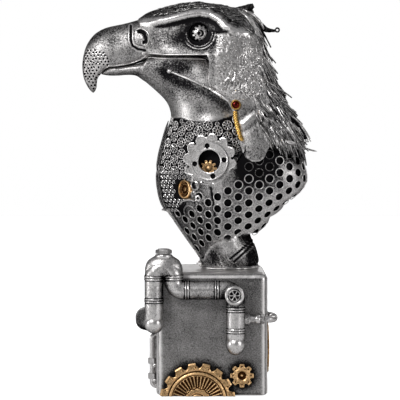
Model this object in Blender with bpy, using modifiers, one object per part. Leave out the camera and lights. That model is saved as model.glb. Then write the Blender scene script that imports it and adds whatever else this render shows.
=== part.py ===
"""Eagle bust in cast metal with machine fittings, on a square plinth with steam pipes and gears.

Metres, +Z up. The origin is the centre of the plinth's underside. The eagle looks toward -X, and its
left side faces -Y.
"""
import math

import bmesh
import bpy
import numpy as np
from mathutils import Matrix, Vector
from mathutils.bvhtree import BVHTree

for old in list(bpy.data.objects):
    bpy.data.objects.remove(old, do_unlink=True)

# Plinth
PLINTH_WIDTH = 0.090
PLINTH_HEIGHT = 0.100
PLINTH_EDGE = 0.006
PLINTH_FOOT_EDGE = 0.0025
FIT_GAP = 0.0003

# Steam pipes on the plinth, places measured from its faces and its underside
PIPE_RADIUS = 0.0072
PIPE_STANDOFF = 0.0004
PIPE_BEND = 0.0078
BAND_RADIUS = 0.0082
BAND_LENGTH = 0.0026
SOCKET_DEPTH = 0.005
CORNER_LEG_OUT = 0.0013
TOP_BEND_LEG = 0.0026
CROSS_RUN_HEIGHT = 0.0866
CORNER_RUN_HEIGHT = 0.0607
CORNER_SOCKET_BACK = 0.038
CORNER_FLANGE_RADIUS = 0.0087
CORNER_FLANGE_BACK = 0.024
LOWER_BAND_DROP = 0.0184
DROP_UPPER_BAND = 0.0155
DROP_LOWER_BAND = 0.0100
DROP_INSET = 0.0264
DROP_SOCKET_HEIGHT = 0.0443
CAP_RADIUS = 0.0078
CAP_HEIGHT = 0.0034
CAP_NECK_RADIUS = 0.0066
PLUG_WIDTH = 0.0128
PLUG_HEIGHT = 0.0042
BOSS_RADIUS = 0.0073
BOSS_FRONT = 0.0018
BOSS_OFFSET = (-0.0010, -0.0036)
BOSS_RECESS_RADIUS = 0.0050
BOSS_RECESS_DEPTH = 0.0016
BRANCH_RADIUS = 0.0036
BRANCH_BEND = 0.0065
BRANCH_HEIGHT = 0.0641
BRANCH_SOCKET_BACK = 0.022
BRANCH_FLANGE_RADIUS = 0.0054
BRANCH_FLANGE_LENGTH = 0.0024
BRANCH_NUT_WIDTH = 0.0080
BRANCH_NUT_LENGTH = 0.0040
BRANCH_NUT_START = 0.0050
BRANCH_COLLAR_RADIUS = 0.0044
BRANCH_COLLAR_LENGTH = 0.0018
BRANCH_COLLAR_INSETS = (0.0045, 0.0075)
FEED_RADIUS = 0.0019
FEED_BEND = 0.0040
FEED_BACK = 0.026
FEED_TOP = 0.0470
FEED_BOTTOM = 0.0042
FEED_NUT_WIDTH = 0.0062
FEED_NUT_LENGTH = 0.0050
FEED_NUT_HEIGHTS = (0.0250, 0.0125)

# Gears on the plinth's faces
GEAR_THICKNESS = 0.0022
LARGE_GEAR_RADIUS = 0.0307
LARGE_GEAR_FROM_CORNER = 0.0333
LARGE_GEAR_CENTRE = (LARGE_GEAR_FROM_CORNER - PLINTH_WIDTH / 2, -0.0035)
LARGE_GEAR_TEETH = 16
LARGE_GEAR_NOTCH_WIDTH = 0.0056
LARGE_GEAR_NOTCH_DEPTH = 0.0040
LARGE_GEAR_HUB_RADIUS = 0.0100
SMALL_GEAR_RADIUS = 0.0095
SMALL_GEAR_FROM_LARGE = (0.0357, 0.0205)
SMALL_GEAR_CENTRE = (LARGE_GEAR_CENTRE[0] + SMALL_GEAR_FROM_LARGE[0],
                     LARGE_GEAR_CENTRE[1] + SMALL_GEAR_FROM_LARGE[1])
SMALL_GEAR_TEETH = 8
SMALL_GEAR_BOWL_RADIUS = 0.0036
SIDE_GEAR_RADIUS = 0.0210
SIDE_GEAR_HEIGHT = 0.0336
SIDE_GEAR_TEETH = 14
SIDE_LATCH_SIZE = (0.0030, 0.0120, 0.0080)
SIDE_LATCH_HEIGHT = 0.0590
SIDE_LATCH_SLOT = 0.0016

# Bust. Its carving is in units of a 220th of its height, with x and z from its foot's centre line.
BUST_HEIGHT = 0.220
UNIT = BUST_HEIGHT / 220
HOLE_PITCH = 0.0097
HOLE_RADIUS = 0.0031
HOLE_DEPTH = 0.0030
HOLE_SIDES = 5
FOOT_CENTRE_X = 0.0155
FOOT_RADIUS = 0.0245
FOOT_NARROWING = 0.92
FOOT_FLANGE_HEIGHT = 0.0036
FACES_KEPT = 0.62

# Fittings on the bust
EYE_RADIUS = 0.0090
EYE_STAND_OUT = 0.0035
PORTHOLE_RADIUS = 0.0157
PORTHOLE_WINDOW_RADIUS = 0.0092
PORTHOLE_RING_HEIGHT = 0.0026
PORTHOLE_WELL_RADIUS = 0.0142
PORTHOLE_WELL_DEPTH = 0.0040
PORTHOLE_YAW = math.radians(15)
PORTHOLE_SINK = 0.0022
PLATE_TIP_RADIUS = 0.0230
PLATE_ROOT_RADIUS = 0.0184
PLATE_TEETH = 12
PLATE_THICKNESS = 0.0014
WINDOW_GEAR_RADIUS = 0.0072
WINDOW_GEAR_TEETH = 10
WINDOW_GEAR_THICKNESS = 0.0014
GLAND_RADIUS = 0.0076
GLAND_BORE_RADIUS = 0.0050
GLAND_HEIGHT = 0.0032
GLAND_SINK = 0.0016
GLAND_YAW = math.radians(50)
ROD_RADIUS = 0.0010
ROD_BALL_RADIUS = 0.0021
PIVOT_RADIUS = 0.0041
PIVOT_HEIGHT = 0.0030
HOSE_RADIUS = 0.0017

# How far a cutter runs out past the surface that it enters
CUT_RUN_OUT = 0.030
SMALL_RUN_OUT = 0.001


def collection(name):
    made = bpy.data.collections.new(name)
    bpy.context.scene.collection.children.link(made)
    return made


PARTS = collection("steampunk_eagle_statue")
CUTTERS = collection("cutters")


def metal(name, colour, roughness, metallic=1.0):
    """A Principled material with one colour."""
    material = bpy.data.materials.new(name)
    material.use_nodes = True
    shader = material.node_tree.nodes["Principled BSDF"]
    shader.inputs["Base Color"].default_value = (*colour, 1.0)
    shader.inputs["Roughness"].default_value = roughness
    shader.inputs["Metallic"].default_value = metallic
    return material


SILVER = metal("antique_silver", (0.42, 0.42, 0.43), 0.35)
DARK_SILVER = metal("blackened_steel", (0.12, 0.12, 0.125), 0.45)
BRASS = metal("aged_brass", (0.56, 0.38, 0.14), 0.35)


# Building blocks
def place_object(name, mesh):
    """A construction object, kept with the cutters until finish() makes it a part."""
    made = bpy.data.objects.new(name, mesh)
    made.hide_render = True
    made.display_type = "WIRE"
    CUTTERS.objects.link(made)
    return made


def finish(made, name, material, location=(0, 0, 0)):
    """Turns a construction object into a named part."""
    CUTTERS.objects.unlink(made)
    PARTS.objects.link(made)
    made.name = name
    made.hide_render = False
    made.display_type = "TEXTURED"
    made.location = Vector(made.location) + Vector(location)
    made.data.name = name
    made.data.materials.clear()
    made.data.materials.append(material)
    made.data.shade_smooth()
    made.data.set_sharp_from_angle(angle=math.radians(35))
    return made


def discard(made):
    bpy.data.objects.remove(made, do_unlink=True)


def applied(made):
    """Puts the object's finished mesh, with doubles merged, in place of its curve or its modifiers."""
    bpy.context.view_layer.update()
    graph = bpy.context.evaluated_depsgraph_get()
    mesh = bpy.data.meshes.new_from_object(made.evaluated_get(graph))
    whole = bmesh.new()
    whole.from_mesh(mesh)
    bmesh.ops.remove_doubles(whole, verts=whole.verts, dist=0.000001)
    bmesh.ops.recalc_face_normals(whole, faces=whole.faces)
    whole.to_mesh(mesh)
    whole.free()
    result = place_object(made.name, mesh)
    result.matrix_world = made.matrix_world.copy()
    discard(made)
    return result


def thinned(made, share):
    """The same solid with fewer faces, where they add least to the shape."""
    modifier = made.modifiers.new("thin", "DECIMATE")
    modifier.ratio = share
    return applied(made)


def combine(target, tools, operation):
    """Joins the tools to the target, or cuts them out of it, and removes the tools."""
    for tool in tools:
        modifier = target.modifiers.new(tool.name, "BOOLEAN")
        modifier.operation = operation
        modifier.object = tool
    result = applied(target)
    for tool in tools:
        discard(tool)
    return result


def bmesh_object(name, shape):
    mesh = bpy.data.meshes.new(name)
    shape.to_mesh(mesh)
    shape.free()
    return place_object(name, mesh)


def along(direction, centre):
    """The matrix that turns +Z to the direction and moves the origin to the centre."""
    turn = Vector((0, 0, 1)).rotation_difference(Vector(direction)).to_matrix().to_4x4()
    return Matrix.Translation(Vector(centre)) @ turn


def cylinder(centre, direction, radius, length, sides=16):
    """A cylinder, with the centre of its base at the centre given."""
    shape = bmesh.new()
    bmesh.ops.create_cone(shape, cap_ends=True, segments=sides, radius1=radius, radius2=radius, depth=length)
    bmesh.ops.translate(shape, vec=(0, 0, length / 2), verts=shape.verts)
    bmesh.ops.transform(shape, matrix=along(direction, centre), verts=shape.verts)
    return bmesh_object("cylinder", shape)


def block(low, high):
    shape = bmesh.new()
    bmesh.ops.create_cube(shape, size=1)
    low = Vector(low)
    size = Vector(high) - low
    bmesh.ops.transform(shape, matrix=Matrix.Translation(low + size / 2) @ Matrix.Diagonal((*size, 1)),
                        verts=shape.verts)
    return bmesh_object("block", shape)


def ball(centre, radius, segments=12, rings=8):
    shape = bmesh.new()
    bmesh.ops.create_uvsphere(shape, u_segments=segments, v_segments=rings, radius=radius)
    bmesh.ops.translate(shape, vec=centre, verts=shape.verts)
    return bmesh_object("ball", shape)


def plate(outline, thickness):
    """A flat plate on the XY plane from its outline, standing up by its thickness."""
    curve = bpy.data.curves.new("plate", "CURVE")
    curve.dimensions = "2D"
    curve.fill_mode = "BOTH"
    curve.extrude = thickness / 2
    spline = curve.splines.new("POLY")
    spline.points.add(len(outline) - 1)
    for point, (x, y) in zip(spline.points, outline):
        point.co = (x, y, 0, 1)
    spline.use_cyclic_u = True
    made = applied(place_object("plate", curve))
    made.data.transform(Matrix.Translation((0, 0, thickness / 2)))
    return made


def turned(profile, steps=24):
    """A turned solid about Z from its (radius, height) profile, which starts and ends on the axis."""
    mesh = bpy.data.meshes.new("turned")
    mesh.from_pydata([(r, 0, z) for r, z in profile], [(i, i + 1) for i in range(len(profile) - 1)], [])
    made = place_object("turned", mesh)
    screw = made.modifiers.new("turn", "SCREW")
    screw.steps = steps
    screw.render_steps = steps
    screw.use_merge_vertices = True
    screw.merge_threshold = 0.00001
    return applied(made)


def ring(profile, steps=24):
    """A turned ring about Z from a closed (radius, height) profile off the axis."""
    mesh = bpy.data.meshes.new("ring")
    count = len(profile)
    mesh.from_pydata([(r, 0, z) for r, z in profile], [(i, (i + 1) % count) for i in range(count)], [])
    made = place_object("ring", mesh)
    screw = made.modifiers.new("turn", "SCREW")
    screw.steps = steps
    screw.render_steps = steps
    screw.use_merge_vertices = True
    screw.merge_threshold = 0.00001
    return applied(made)


def tube(points, radius, resolution=2):
    """A pipe along the points, with closed ends."""
    curve = bpy.data.curves.new("tube", "CURVE")
    curve.dimensions = "3D"
    curve.bevel_depth = radius
    curve.bevel_resolution = resolution
    curve.use_fill_caps = True
    spline = curve.splines.new("POLY")
    spline.points.add(len(points) - 1)
    for point, place in zip(spline.points, points):
        point.co = (*place, 1)
    return applied(place_object("tube", curve))


def bent_route(corners, bend, steps=3):
    """Points along a pipe whose corners are arcs of the bend radius."""
    corners = [Vector(corner) for corner in corners]
    route = [corners[0]]
    for before, corner, after in zip(corners, corners[1:], corners[2:]):
        come = (corner - before).normalized()
        go = (after - corner).normalized()
        turn = come.angle(go)
        reach = bend * math.tan(turn / 2)
        start = corner - come * reach
        inward = (go - come * come.dot(go)).normalized()
        for step in range(steps + 1):
            angle = turn * step / steps
            route.append(start + come * (bend * math.sin(angle)) + inward * (bend * (1 - math.cos(angle))))
    route.append(corners[-1])
    return route


def band(centre, direction, radius=BAND_RADIUS, length=BAND_LENGTH, sides=10):
    """A raised ring round a pipe, centred on the point given."""
    start = Vector(centre) - Vector(direction).normalized() * (length / 2)
    return cylinder(start, direction, radius, length, sides)


def notched_outline(teeth, tip, notch_width, notch_depth, first_notch):
    """A gear's outline: wide teeth parted by round-bottomed notches."""
    outline = []
    for tooth in range(teeth):
        centre = first_notch + math.tau * tooth / teeth
        half = math.asin(notch_width / 2 / tip)
        for share, depth in ((-1.0, 0.0), (-0.6, 1.0), (0.6, 1.0), (1.0, 0.0)):
            radius = tip - notch_depth * depth
            angle = centre + half * share
            outline.append((radius * math.cos(angle), radius * math.sin(angle)))
    return outline


def scalloped_outline(teeth, tip, root, first_tip):
    """A gear's outline: pointed teeth parted by hollow scallops."""
    outline = []
    for tooth in range(teeth):
        for share, radius in ((0.0, tip), (0.3, root), (0.7, root)):
            angle = first_tip + math.tau * (tooth + share) / teeth
            outline.append((radius * math.cos(angle), radius * math.sin(angle)))
    return outline


# Lofted carving
def smooth_rows(rows, count):
    """Station rows, resampled evenly along a Catmull-Rom curve through them."""
    rows = np.array(rows, float)
    knots = np.concatenate([2 * rows[:1] - rows[1:2], rows, 2 * rows[-1:] - rows[-2:-1]])
    place = np.linspace(0, len(rows) - 1, count)
    first = np.minimum(place.astype(int), len(rows) - 2)
    t = (place - first)[:, None]
    a, b, c, d = knots[first], knots[first + 1], knots[first + 2], knots[first + 3]
    bend = (2 * a - 5 * b + 4 * c - d) * t ** 2
    twist = (3 * b - a - 3 * c + d) * t ** 3
    return 0.5 * (2 * b + (c - a) * t + bend + twist)


def loft(rows, stations, half_sides, carve=None):
    """A closed solid through sections that each span a front and a back point on the mid plane.

    A row is front x, front z, back x, back z, half width, share of the span where it is widest, and
    the fullness of its front and of its back: 1 is a straight bevel, 2 an ellipse and 4 nearly square.
    """
    rows = smooth_rows(rows, stations)
    angle = np.linspace(0, math.pi, half_sides + 1)
    cosine = np.cos(angle)
    sine = np.clip(np.sin(angle), 0, 1)
    left = []
    for fx, fz, bx, bz, width, widest, front, back in rows:
        power = 2 / np.where(cosine > 0, front, back)
        span = widest - np.where(cosine > 0, widest, 1 - widest) * np.sign(cosine) * np.abs(cosine) ** power
        side = width * sine ** power
        left.append(np.stack([fx + (bx - fx) * span, -side, fz + (bz - fz) * span], axis=1))
    left = np.array(left)
    if carve:
        left = carve(left, np.linspace(0, 1, stations), angle / math.pi)
    left[:, [0, -1], 1] = 0
    right = left[:, -2:0:-1] * np.array([1, -1, 1])
    rings = np.concatenate([left, right], axis=1) * UNIT
    count = rings.shape[1]
    shape = bmesh.new()
    verts = [[shape.verts.new(point) for point in one] for one in rings]
    for low, high in zip(verts, verts[1:]):
        for i in range(count):
            j = (i + 1) % count
            shape.faces.new((low[i], low[j], high[j], high[i]))
    shape.faces.new(verts[0])
    shape.faces.new(verts[-1])
    bmesh.ops.remove_doubles(shape, verts=shape.verts, dist=0.000002)
    bmesh.ops.recalc_face_normals(shape, faces=shape.faces)
    return bmesh_object("loft", shape)


def side_prism(outline, reach=70):
    """A prism right through the bust with the outline given in side view."""
    made = plate([(x * UNIT, z * UNIT) for x, z in outline], 2 * reach * UNIT)
    made.data.transform(Matrix.Translation((0, reach * UNIT, 0)) @ Matrix.Rotation(math.pi / 2, 4, "X"))
    return made


def path_distance(x, z, path):
    """The distance of each point from a path in side view, and how far along the path it is."""
    best = np.full(x.shape, 1e9)
    share = np.zeros(x.shape)
    for i, ((ax, az), (bx, bz)) in enumerate(zip(path, path[1:])):
        length = (bx - ax) ** 2 + (bz - az) ** 2
        t = np.clip(((x - ax) * (bx - ax) + (z - az) * (bz - az)) / length, 0, 1)
        distance = np.hypot(x - ax - t * (bx - ax), z - az - t * (bz - az))
        share = np.where(distance < best, (i + t) / (len(path) - 1), share)
        best = np.minimum(best, distance)
    return best, share


# The bust: sections of its masses, in carving units
HEAD_ROWS = (
    (-51, 167, -60.5, 206.3, 14.5, 0.42, 2.4, 2.0),
    (-47, 163, -53, 211.4, 18.5, 0.42, 2.4, 2.0),
    (-42, 158, -42.5, 214.9, 23.0, 0.44, 2.4, 2.0),
    (-36, 153, -28, 218.4, 26.5, 0.46, 2.4, 2.0),
    (-30, 148, -12, 220.0, 29.0, 0.48, 2.3, 2.0),
    (-24, 143, 3, 218.3, 30.8, 0.50, 2.3, 2.0),
    (-18, 138, 18, 215.4, 31.8, 0.50, 2.3, 2.0),
    (-13, 133, 32, 211.4, 32.2, 0.50, 2.3, 2.0),
    (-9, 128, 39.5, 200, 32.6, 0.50, 2.3, 2.0),
    (-6, 123, 41.3, 186, 33.2, 0.50, 2.3, 2.0),
    (-3, 118, 46, 171.5, 34.0, 0.50, 2.3, 2.0),
    (0, 113, 51, 156, 35.0, 0.50, 2.3, 2.0),
    (3, 107, 57, 141.5, 36.2, 0.50, 2.4, 2.1),
    (6, 100, 64, 128, 37.5, 0.50, 2.4, 2.2),
    (9, 92, 69.5, 115, 38.8, 0.48, 2.5, 2.4),
    (12, 84, 73, 103, 39.6, 0.46, 2.5, 2.5),
    (14, 78, 74, 95, 39.0, 0.44, 2.5, 2.5),
)
HEAD_OUTLINE = (
    (-75, 178), (-56, 175), (-50.5, 176.2), (-42, 175), (-4, 174.6), (-2.4, 170), (-2.4, 148.5),
    (5, 142), (12.9, 136.3), (16.5, 129.5), (19.2, 117), (22.6, 103.6), (24.6, 96), (27.5, 91.5),
    (32.3, 88.3), (38, 88.6), (41.5, 91), (44.4, 97.5), (46.6, 101.4), (48.8, 102.6), (51.7, 100.8),
    (55, 99.4), (59, 100.6), (63, 99.8), (70, 100.2), (74, 99), (90, 96), (110, 120), (110, 240), (-75, 240),
)
THROAT_ROWS = (
    (-60, 158.5, -52, 174, 13.4, 0.60, 2.2, 3.4),
    (-51.5, 151.4, -36, 177, 18.8, 0.60, 2.0, 3.2),
    (-44.6, 145.3, -14, 176, 23.0, 0.60, 1.9, 3.0),
    (-39.6, 140.3, 8, 168, 26.0, 0.56, 1.9, 2.8),
    (-36.3, 135.6, 22, 154, 28.0, 0.52, 1.9, 2.5),
    (-34.6, 131, 31, 141, 29.0, 0.50, 1.9, 2.3),
    (-33.8, 126.3, 36, 130, 29.5, 0.50, 1.9, 2.2),
    (-34.4, 121, 40, 120, 31.0, 0.50, 1.8, 2.2),
    (-37, 112.5, 46, 110, 32.5, 0.50, 1.7, 2.2),
    (-40.4, 104, 50, 100, 33.8, 0.50, 1.6, 2.3),
    (-42.6, 93.9, 54, 90, 35.0, 0.50, 1.45, 2.4),
    (-44, 81.4, 58, 80, 36.0, 0.50, 1.35, 2.5),
    (-43, 67, 58, 68, 36.3, 0.48, 1.25, 2.6),
    (-40.2, 54, 52, 56, 35.3, 0.46, 1.2, 2.6),
    (-33, 43.9, 46, 46, 32.0, 0.45, 1.2, 2.5),
    (-26.2, 33.1, 41, 37, 28.5, 0.45, 1.25, 2.4),
    (-18, 22.5, 37.5, 27, 25.5, 0.48, 1.4, 2.3),
    (-10.5, 11.5, 38.6, 14, 22.5, 0.50, 1.7, 2.2),
    (-7.4, 5.0, 38.0, 5.5, 20.5, 0.50, 2.0, 2.2),
    (-7.2, 3.2, 34.5, 3.2, 19.5, 0.50, 2.2, 2.2),
)
MANTLE_ROWS = (
    (-36, 103, 73.5, 101, 38.6, 0.42, 1.5, 3.2),
    (-40.5, 93.9, 75.5, 92, 39.2, 0.42, 1.45, 3.4),
    (-44, 81.4, 77.6, 82, 39.4, 0.42, 1.38, 3.6),
    (-43.4, 67, 78.2, 72, 39.2, 0.42, 1.3, 3.6),
    (-40.4, 54, 72, 62, 38.2, 0.42, 1.25, 3.4),
    (-33.2, 43.9, 62, 52, 36.0, 0.42, 1.25, 3.2),
    (-26.4, 33.1, 52, 42, 32.8, 0.42, 1.25, 3.0),
    (-18.2, 21.5, 44, 32, 28.5, 0.40, 1.3, 2.8),
    (-12.5, 13.5, 36, 22, 24.5, 0.38, 1.3, 2.6),
)
MANTLE_OUTLINE = (
    (-60, 79), (-60, 40), (-30, 20), (-14, 8.5), (-9.5, 10.5), (-6, 14.5), (-1.6, 19.4), (3, 23), (8, 25.2),
    (14, 25.6), (19.3, 28.5), (24, 31.6), (30, 29.4), (37.6, 29.8), (42, 33.4), (46.4, 38), (47.6, 43),
    (52.7, 45.4), (57.4, 48.6), (59.6, 54.6), (64.6, 58.6), (71, 61), (76, 64.6), (78, 70.5), (79.5, 74),
    (78.2, 80), (76.4, 86), (75.2, 91), (72.4, 96.2), (70, 110), (16, 110), (19, 92), (14, 82), (2, 76),
    (-14, 76), (-30, 79),
)
BEAK_ROWS = (
    (-50, 208.2, -44, 172.5, 14.6, 0.62, 2.0, 2.6),
    (-59.5, 205.8, -52, 172.2, 14.0, 0.62, 2.0, 2.6),
    (-66.5, 203.8, -59, 170.4, 13.4, 0.62, 2.0, 2.7),
    (-73.5, 202, -65, 168.6, 12.7, 0.63, 2.0, 2.7),
    (-80.1, 200.7, -71, 167.2, 12.0, 0.64, 2.0, 2.8),
    (-86.8, 199.1, -77, 166.2, 11.2, 0.65, 2.0, 2.8),
    (-92.6, 196.6, -82, 165.8, 10.4, 0.66, 2.0, 2.8),
    (-97.6, 193, -86, 165, 9.6, 0.66, 2.0, 2.8),
    (-101.7, 187.9, -89, 163, 8.8, 0.66, 2.0, 2.7),
    (-104.5, 182.6, -91.2, 161.4, 8.0, 0.66, 2.0, 2.6),
    (-106.3, 176.2, -93, 159.6, 7.1, 0.65, 2.0, 2.5),
    (-107.3, 169, -94.2, 157.9, 6.1, 0.62, 2.0, 2.4),
    (-107.0, 162, -95, 155.5, 5.0, 0.60, 2.0, 2.2),
    (-105.9, 156.6, -95.3, 152.6, 3.9, 0.55, 2.0, 2.1),
    (-103.8, 151.7, -95.6, 149.6, 2.9, 0.52, 2.0, 2.0),
    (-101.2, 147.7, -96.7, 146.8, 1.8, 0.50, 2.0, 2.0),
    (-99.0, 145.5, -98.0, 145.3, 0.5, 0.50, 2.0, 2.0),
)
MANDIBLE_ROWS = (
    (-91.2, 160.5, -91.2, 161.8, 1.6, 0.50, 2.0, 2.0),
    (-88.5, 159.9, -88.5, 163.4, 4.6, 0.50, 2.0, 2.4),
    (-84, 159.4, -84, 166, 6.6, 0.50, 2.0, 2.6),
    (-77, 159.5, -77, 166.6, 8.4, 0.50, 2.0, 2.6),
    (-70, 160, -69, 167.8, 9.8, 0.50, 2.0, 2.6),
    (-62.8, 159.3, -60, 169.6, 11.2, 0.50, 2.0, 2.6),
    (-56.5, 155.2, -50, 173, 13.6, 0.50, 2.0, 2.6),
    (-50, 151.4, -42, 174, 16.4, 0.50, 2.0, 2.6),
)
CHEST_PLATES = (
    (((-34.2, 122.5), (-38.8, 114), (-42.6, 104), (-44.8, 94), (-45.8, 84), (-45.6, 79), (-38.5, 86),
      (-33.5, 98), (-31, 112)), 9.5),
    (((-44.8, 80.6), (-45.4, 72), (-43.6, 62), (-40.6, 52), (-34.5, 44.5), (-30, 44), (-32, 54), (-36, 66),
      (-40, 74)), 8.5),
)
BROW = ((-57, 202), (-48, 201.4), (-38, 202.2), (-26, 204.6), (-17, 207.0), (-9.7, 207.8), (-1, 206.2),
        (5, 202.6), (10.5, 197), (18.6, 193.2), (28.3, 192.5))
EYE_CENTRE = (-10.5, 192.5)
PORTHOLE_CENTRE = (-2.1, 88.7)
GLAND_CENTRE = (-21.8, 65.8)
ROD_PATH = ((-34.7, 161.8), (-18, 154.8), (-2.4, 147.7), (5, 142.7), (13.2, 137.4))
PIVOT_CENTRE = (19.0, 134.0)
HOSE_PATH = ((18.2, 129.0), (18.8, 126), (19.4, 122.2), (20.1, 118), (21.0, 114.2), (22.4, 109),
             (24.3, 103.2))
WINDOW_GEAR_OFFSET = (-0.0038, -0.0054)

# Feather tips that break the outline: root x and z, tip x and z, y of root and tip, and root thickness
FEATHER_TIPS = (
    (8, 209, 34.4, 219.0, 0, 0, 9),
    (22, 198, 46.5, 206.5, 0, 0, 9),
    (16, 199, 54.6, 196.8, 5, 7, 10),
    (16, 199, 54.0, 195.6, -5, -7, 10),
    (26, 190, 50.5, 180.0, 0, 0, 10),
    (29, 180, 54.0, 167.0, 8, 11, 11),
    (29, 180, 54.0, 167.0, -8, -11, 11),
    (34, 166, 58.5, 150.5, 0, 0, 11),
    (38, 158, 63.6, 139.5, 9, 11, 12),
    (38, 158, 63.6, 139.5, -9, -11, 12),
    (44, 146, 71.0, 122.5, 0, 0, 12),
    (50, 135, 80.6, 106.6, 9, 12, 12),
    (50, 135, 80.6, 106.6, -9, -12, 12),
    (56, 122, 84.6, 98.4, 0, 0, 12),
    (54, 118, 87.3, 96.2, 17, 19, 11),
    (54, 118, 87.3, 96.2, -17, -19, 11),
)


def carve_head(left, stations, angles):
    """Feather locks, brow, eye hollow and the groove of the gape, on the head's left half."""
    x = left[:, :, 0]
    z = left[:, :, 2]
    width = np.abs(left[:, :, 1])
    fade = np.clip(width / 14, 0, 1)
    along_station = stations[:, None]
    around = angles[None, :]
    locks = np.clip((along_station - 0.36) / 0.25, 0, 1) * np.clip(1.25 - abs(around - 0.62) * 2.2, 0, 1)
    wave = np.sin(around * 27 + np.sin(along_station * 9) * 0.9)
    push = 1.5 * locks * wave
    brow_distance, brow_share = path_distance(x, z, BROW)
    brow_height = 4.2 * np.clip(np.sin(brow_share * math.pi) * 2, 0.35, 1)
    push = push + brow_height * np.exp(-(brow_distance / 4.4) ** 2)
    eye_distance = np.hypot(x - EYE_CENTRE[0], z - EYE_CENTRE[1])
    push = push - 4.0 * np.exp(-(eye_distance / 14) ** 2)
    lore = np.hypot((x + 36) / 18, (z - 191) / 8)
    push = push - 2.2 * np.exp(-lore ** 2)
    left[:, :, 1] = left[:, :, 1] - push * fade
    return left


def feather(rx, rz, tx, tz, root_y, tip_y, thickness):
    """A lock of feathers that runs out to a point: a bent cone."""
    bend = Vector((rx, root_y, rz)).lerp(Vector((tx, tip_y, tz)), 0.55) + Vector((0, 0, -1.5))
    route = ((Vector((rx, root_y, rz)), 1.0), (bend, 0.72), (Vector((tx, tip_y, tz)), 0.06))
    go = (Vector((tx, tip_y, tz)) - Vector((rx, root_y, rz))).normalized()
    across = go.cross(Vector((0, 1, 0))).normalized()
    shape = bmesh.new()
    rings = []
    sides = 6
    for place, share in route:
        rings.append([])
        for side in range(sides):
            angle = math.tau * side / sides
            offset = across * (math.cos(angle) * 0.62) + go.cross(across) * (math.sin(angle) * 0.5)
            rings[-1].append(shape.verts.new((place + offset * thickness * share) * UNIT))
    for low, high in zip(rings, rings[1:]):
        for i in range(sides):
            shape.faces.new((low[i], low[(i + 1) % sides], high[(i + 1) % sides], high[i]))
    shape.faces.new(rings[0])
    shape.faces.new(rings[-1])
    bmesh.ops.recalc_face_normals(shape, faces=shape.faces)
    return bmesh_object("feather", shape)


def inside(x, z, outline):
    """Whether a point in side view lies inside the outline."""
    hit = False
    for (ax, az), (bx, bz) in zip(outline, outline[1:] + outline[:1]):
        if (az > z) != (bz > z) and x < (bx - ax) * (z - az) / (bz - az) + ax:
            hit = not hit
    return hit


def mantle_hole_centres():
    """Centres of the punched holes, in staggered columns inside the mantle's outline."""
    pitch = HOLE_PITCH / UNIT
    step = pitch * 0.866
    margin = HOLE_RADIUS / UNIT + 1.2
    centres = []
    for column in range(-4, 11):
        for row in range(-9, 9):
            x = 4.5 + column * step
            z = 60 + (row + 0.5 * (column % 2)) * pitch
            reach = [(x + margin * math.cos(a), z + margin * math.sin(a))
                     for a in np.linspace(0, math.tau, 9)]
            clear_of_hood = not any(inside(px, pz, HEAD_OUTLINE) for px, pz in reach)
            clear_of_plate = math.hypot(x - PORTHOLE_CENTRE[0], z - PORTHOLE_CENTRE[1]) * UNIT > (
                PLATE_TIP_RADIUS + HOLE_RADIUS)
            if x > -2 and clear_of_hood and clear_of_plate and all(
                    inside(px, pz, MANTLE_OUTLINE) for px, pz in reach):
                centres.append((x, z))
    return centres


def surface_y(tree, x, z, side):
    """How far out the bust's surface lies at a side-view point, on the left (-1) or the right (1)."""
    hit = tree.ray_cast(Vector((x, side * 90, z)) * UNIT, Vector((0, -side, 0)))
    return hit[0].y


def tree_of(made):
    bpy.context.view_layer.update()
    return BVHTree.FromObject(made, bpy.context.evaluated_depsgraph_get())


# The plinth
FACE = PLINTH_WIDTH / 2
RUN = FACE + PIPE_STANDOFF + CORNER_FLANGE_RADIUS
CORNER_LEG_X = -FACE - CORNER_LEG_OUT
SECOND_LEG_X = CORNER_LEG_X + 2 * PIPE_BEND
DROP_X = FACE - DROP_INSET
BRANCH_RUN = FACE + PIPE_STANDOFF + BRANCH_FLANGE_RADIUS
FEED_RUN = FACE + PIPE_STANDOFF + FEED_NUT_WIDTH / math.sqrt(3)
SOCKET_END = FACE - SOCKET_DEPTH
CORNER_SOCKET_Y = -FACE + CORNER_SOCKET_BACK
BRANCH_SOCKET_Y = -FACE + BRANCH_SOCKET_BACK
FEED_Y = -FACE + FEED_BACK
TOP_BEND_HEIGHT = CROSS_RUN_HEIGHT + PIPE_BEND + TOP_BEND_LEG
CORNER_BEND = PIPE_BEND * 0.99
ARCH_X = CORNER_LEG_X + PIPE_BEND
WIDE_BAND = BAND_LENGTH * 1.6


def rounded_block():
    shape = bmesh.new()
    bmesh.ops.create_cube(shape, size=1)
    bmesh.ops.scale(shape, vec=(PLINTH_WIDTH, PLINTH_WIDTH, PLINTH_HEIGHT), verts=shape.verts)
    bmesh.ops.translate(shape, vec=(0, 0, PLINTH_HEIGHT / 2), verts=shape.verts)
    top_and_sides = [e for e in shape.edges if (e.verts[0].co.z + e.verts[1].co.z) / 2 > PLINTH_HEIGHT / 4]
    bmesh.ops.bevel(shape, geom=top_and_sides, offset=PLINTH_EDGE, segments=3, profile=0.5, affect="EDGES")
    foot = [e for e in shape.edges if max(v.co.z for v in e.verts) < 1e-6]
    bmesh.ops.bevel(shape, geom=foot, offset=PLINTH_FOOT_EDGE, segments=1, profile=0.5, affect="EDGES")
    bmesh.ops.recalc_face_normals(shape, faces=shape.faces)
    return bmesh_object("plinth", shape)


def socket(mouth, direction, pipe_radius):
    """The hole in the plinth that a pipe's end sits in. It starts outside the face."""
    inward = Vector(direction)
    start = Vector(mouth) - inward * (PLINTH_EDGE / 2)
    return cylinder(start, inward, pipe_radius + FIT_GAP, SOCKET_DEPTH + PLINTH_EDGE / 2 + FIT_GAP, 12)


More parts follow.
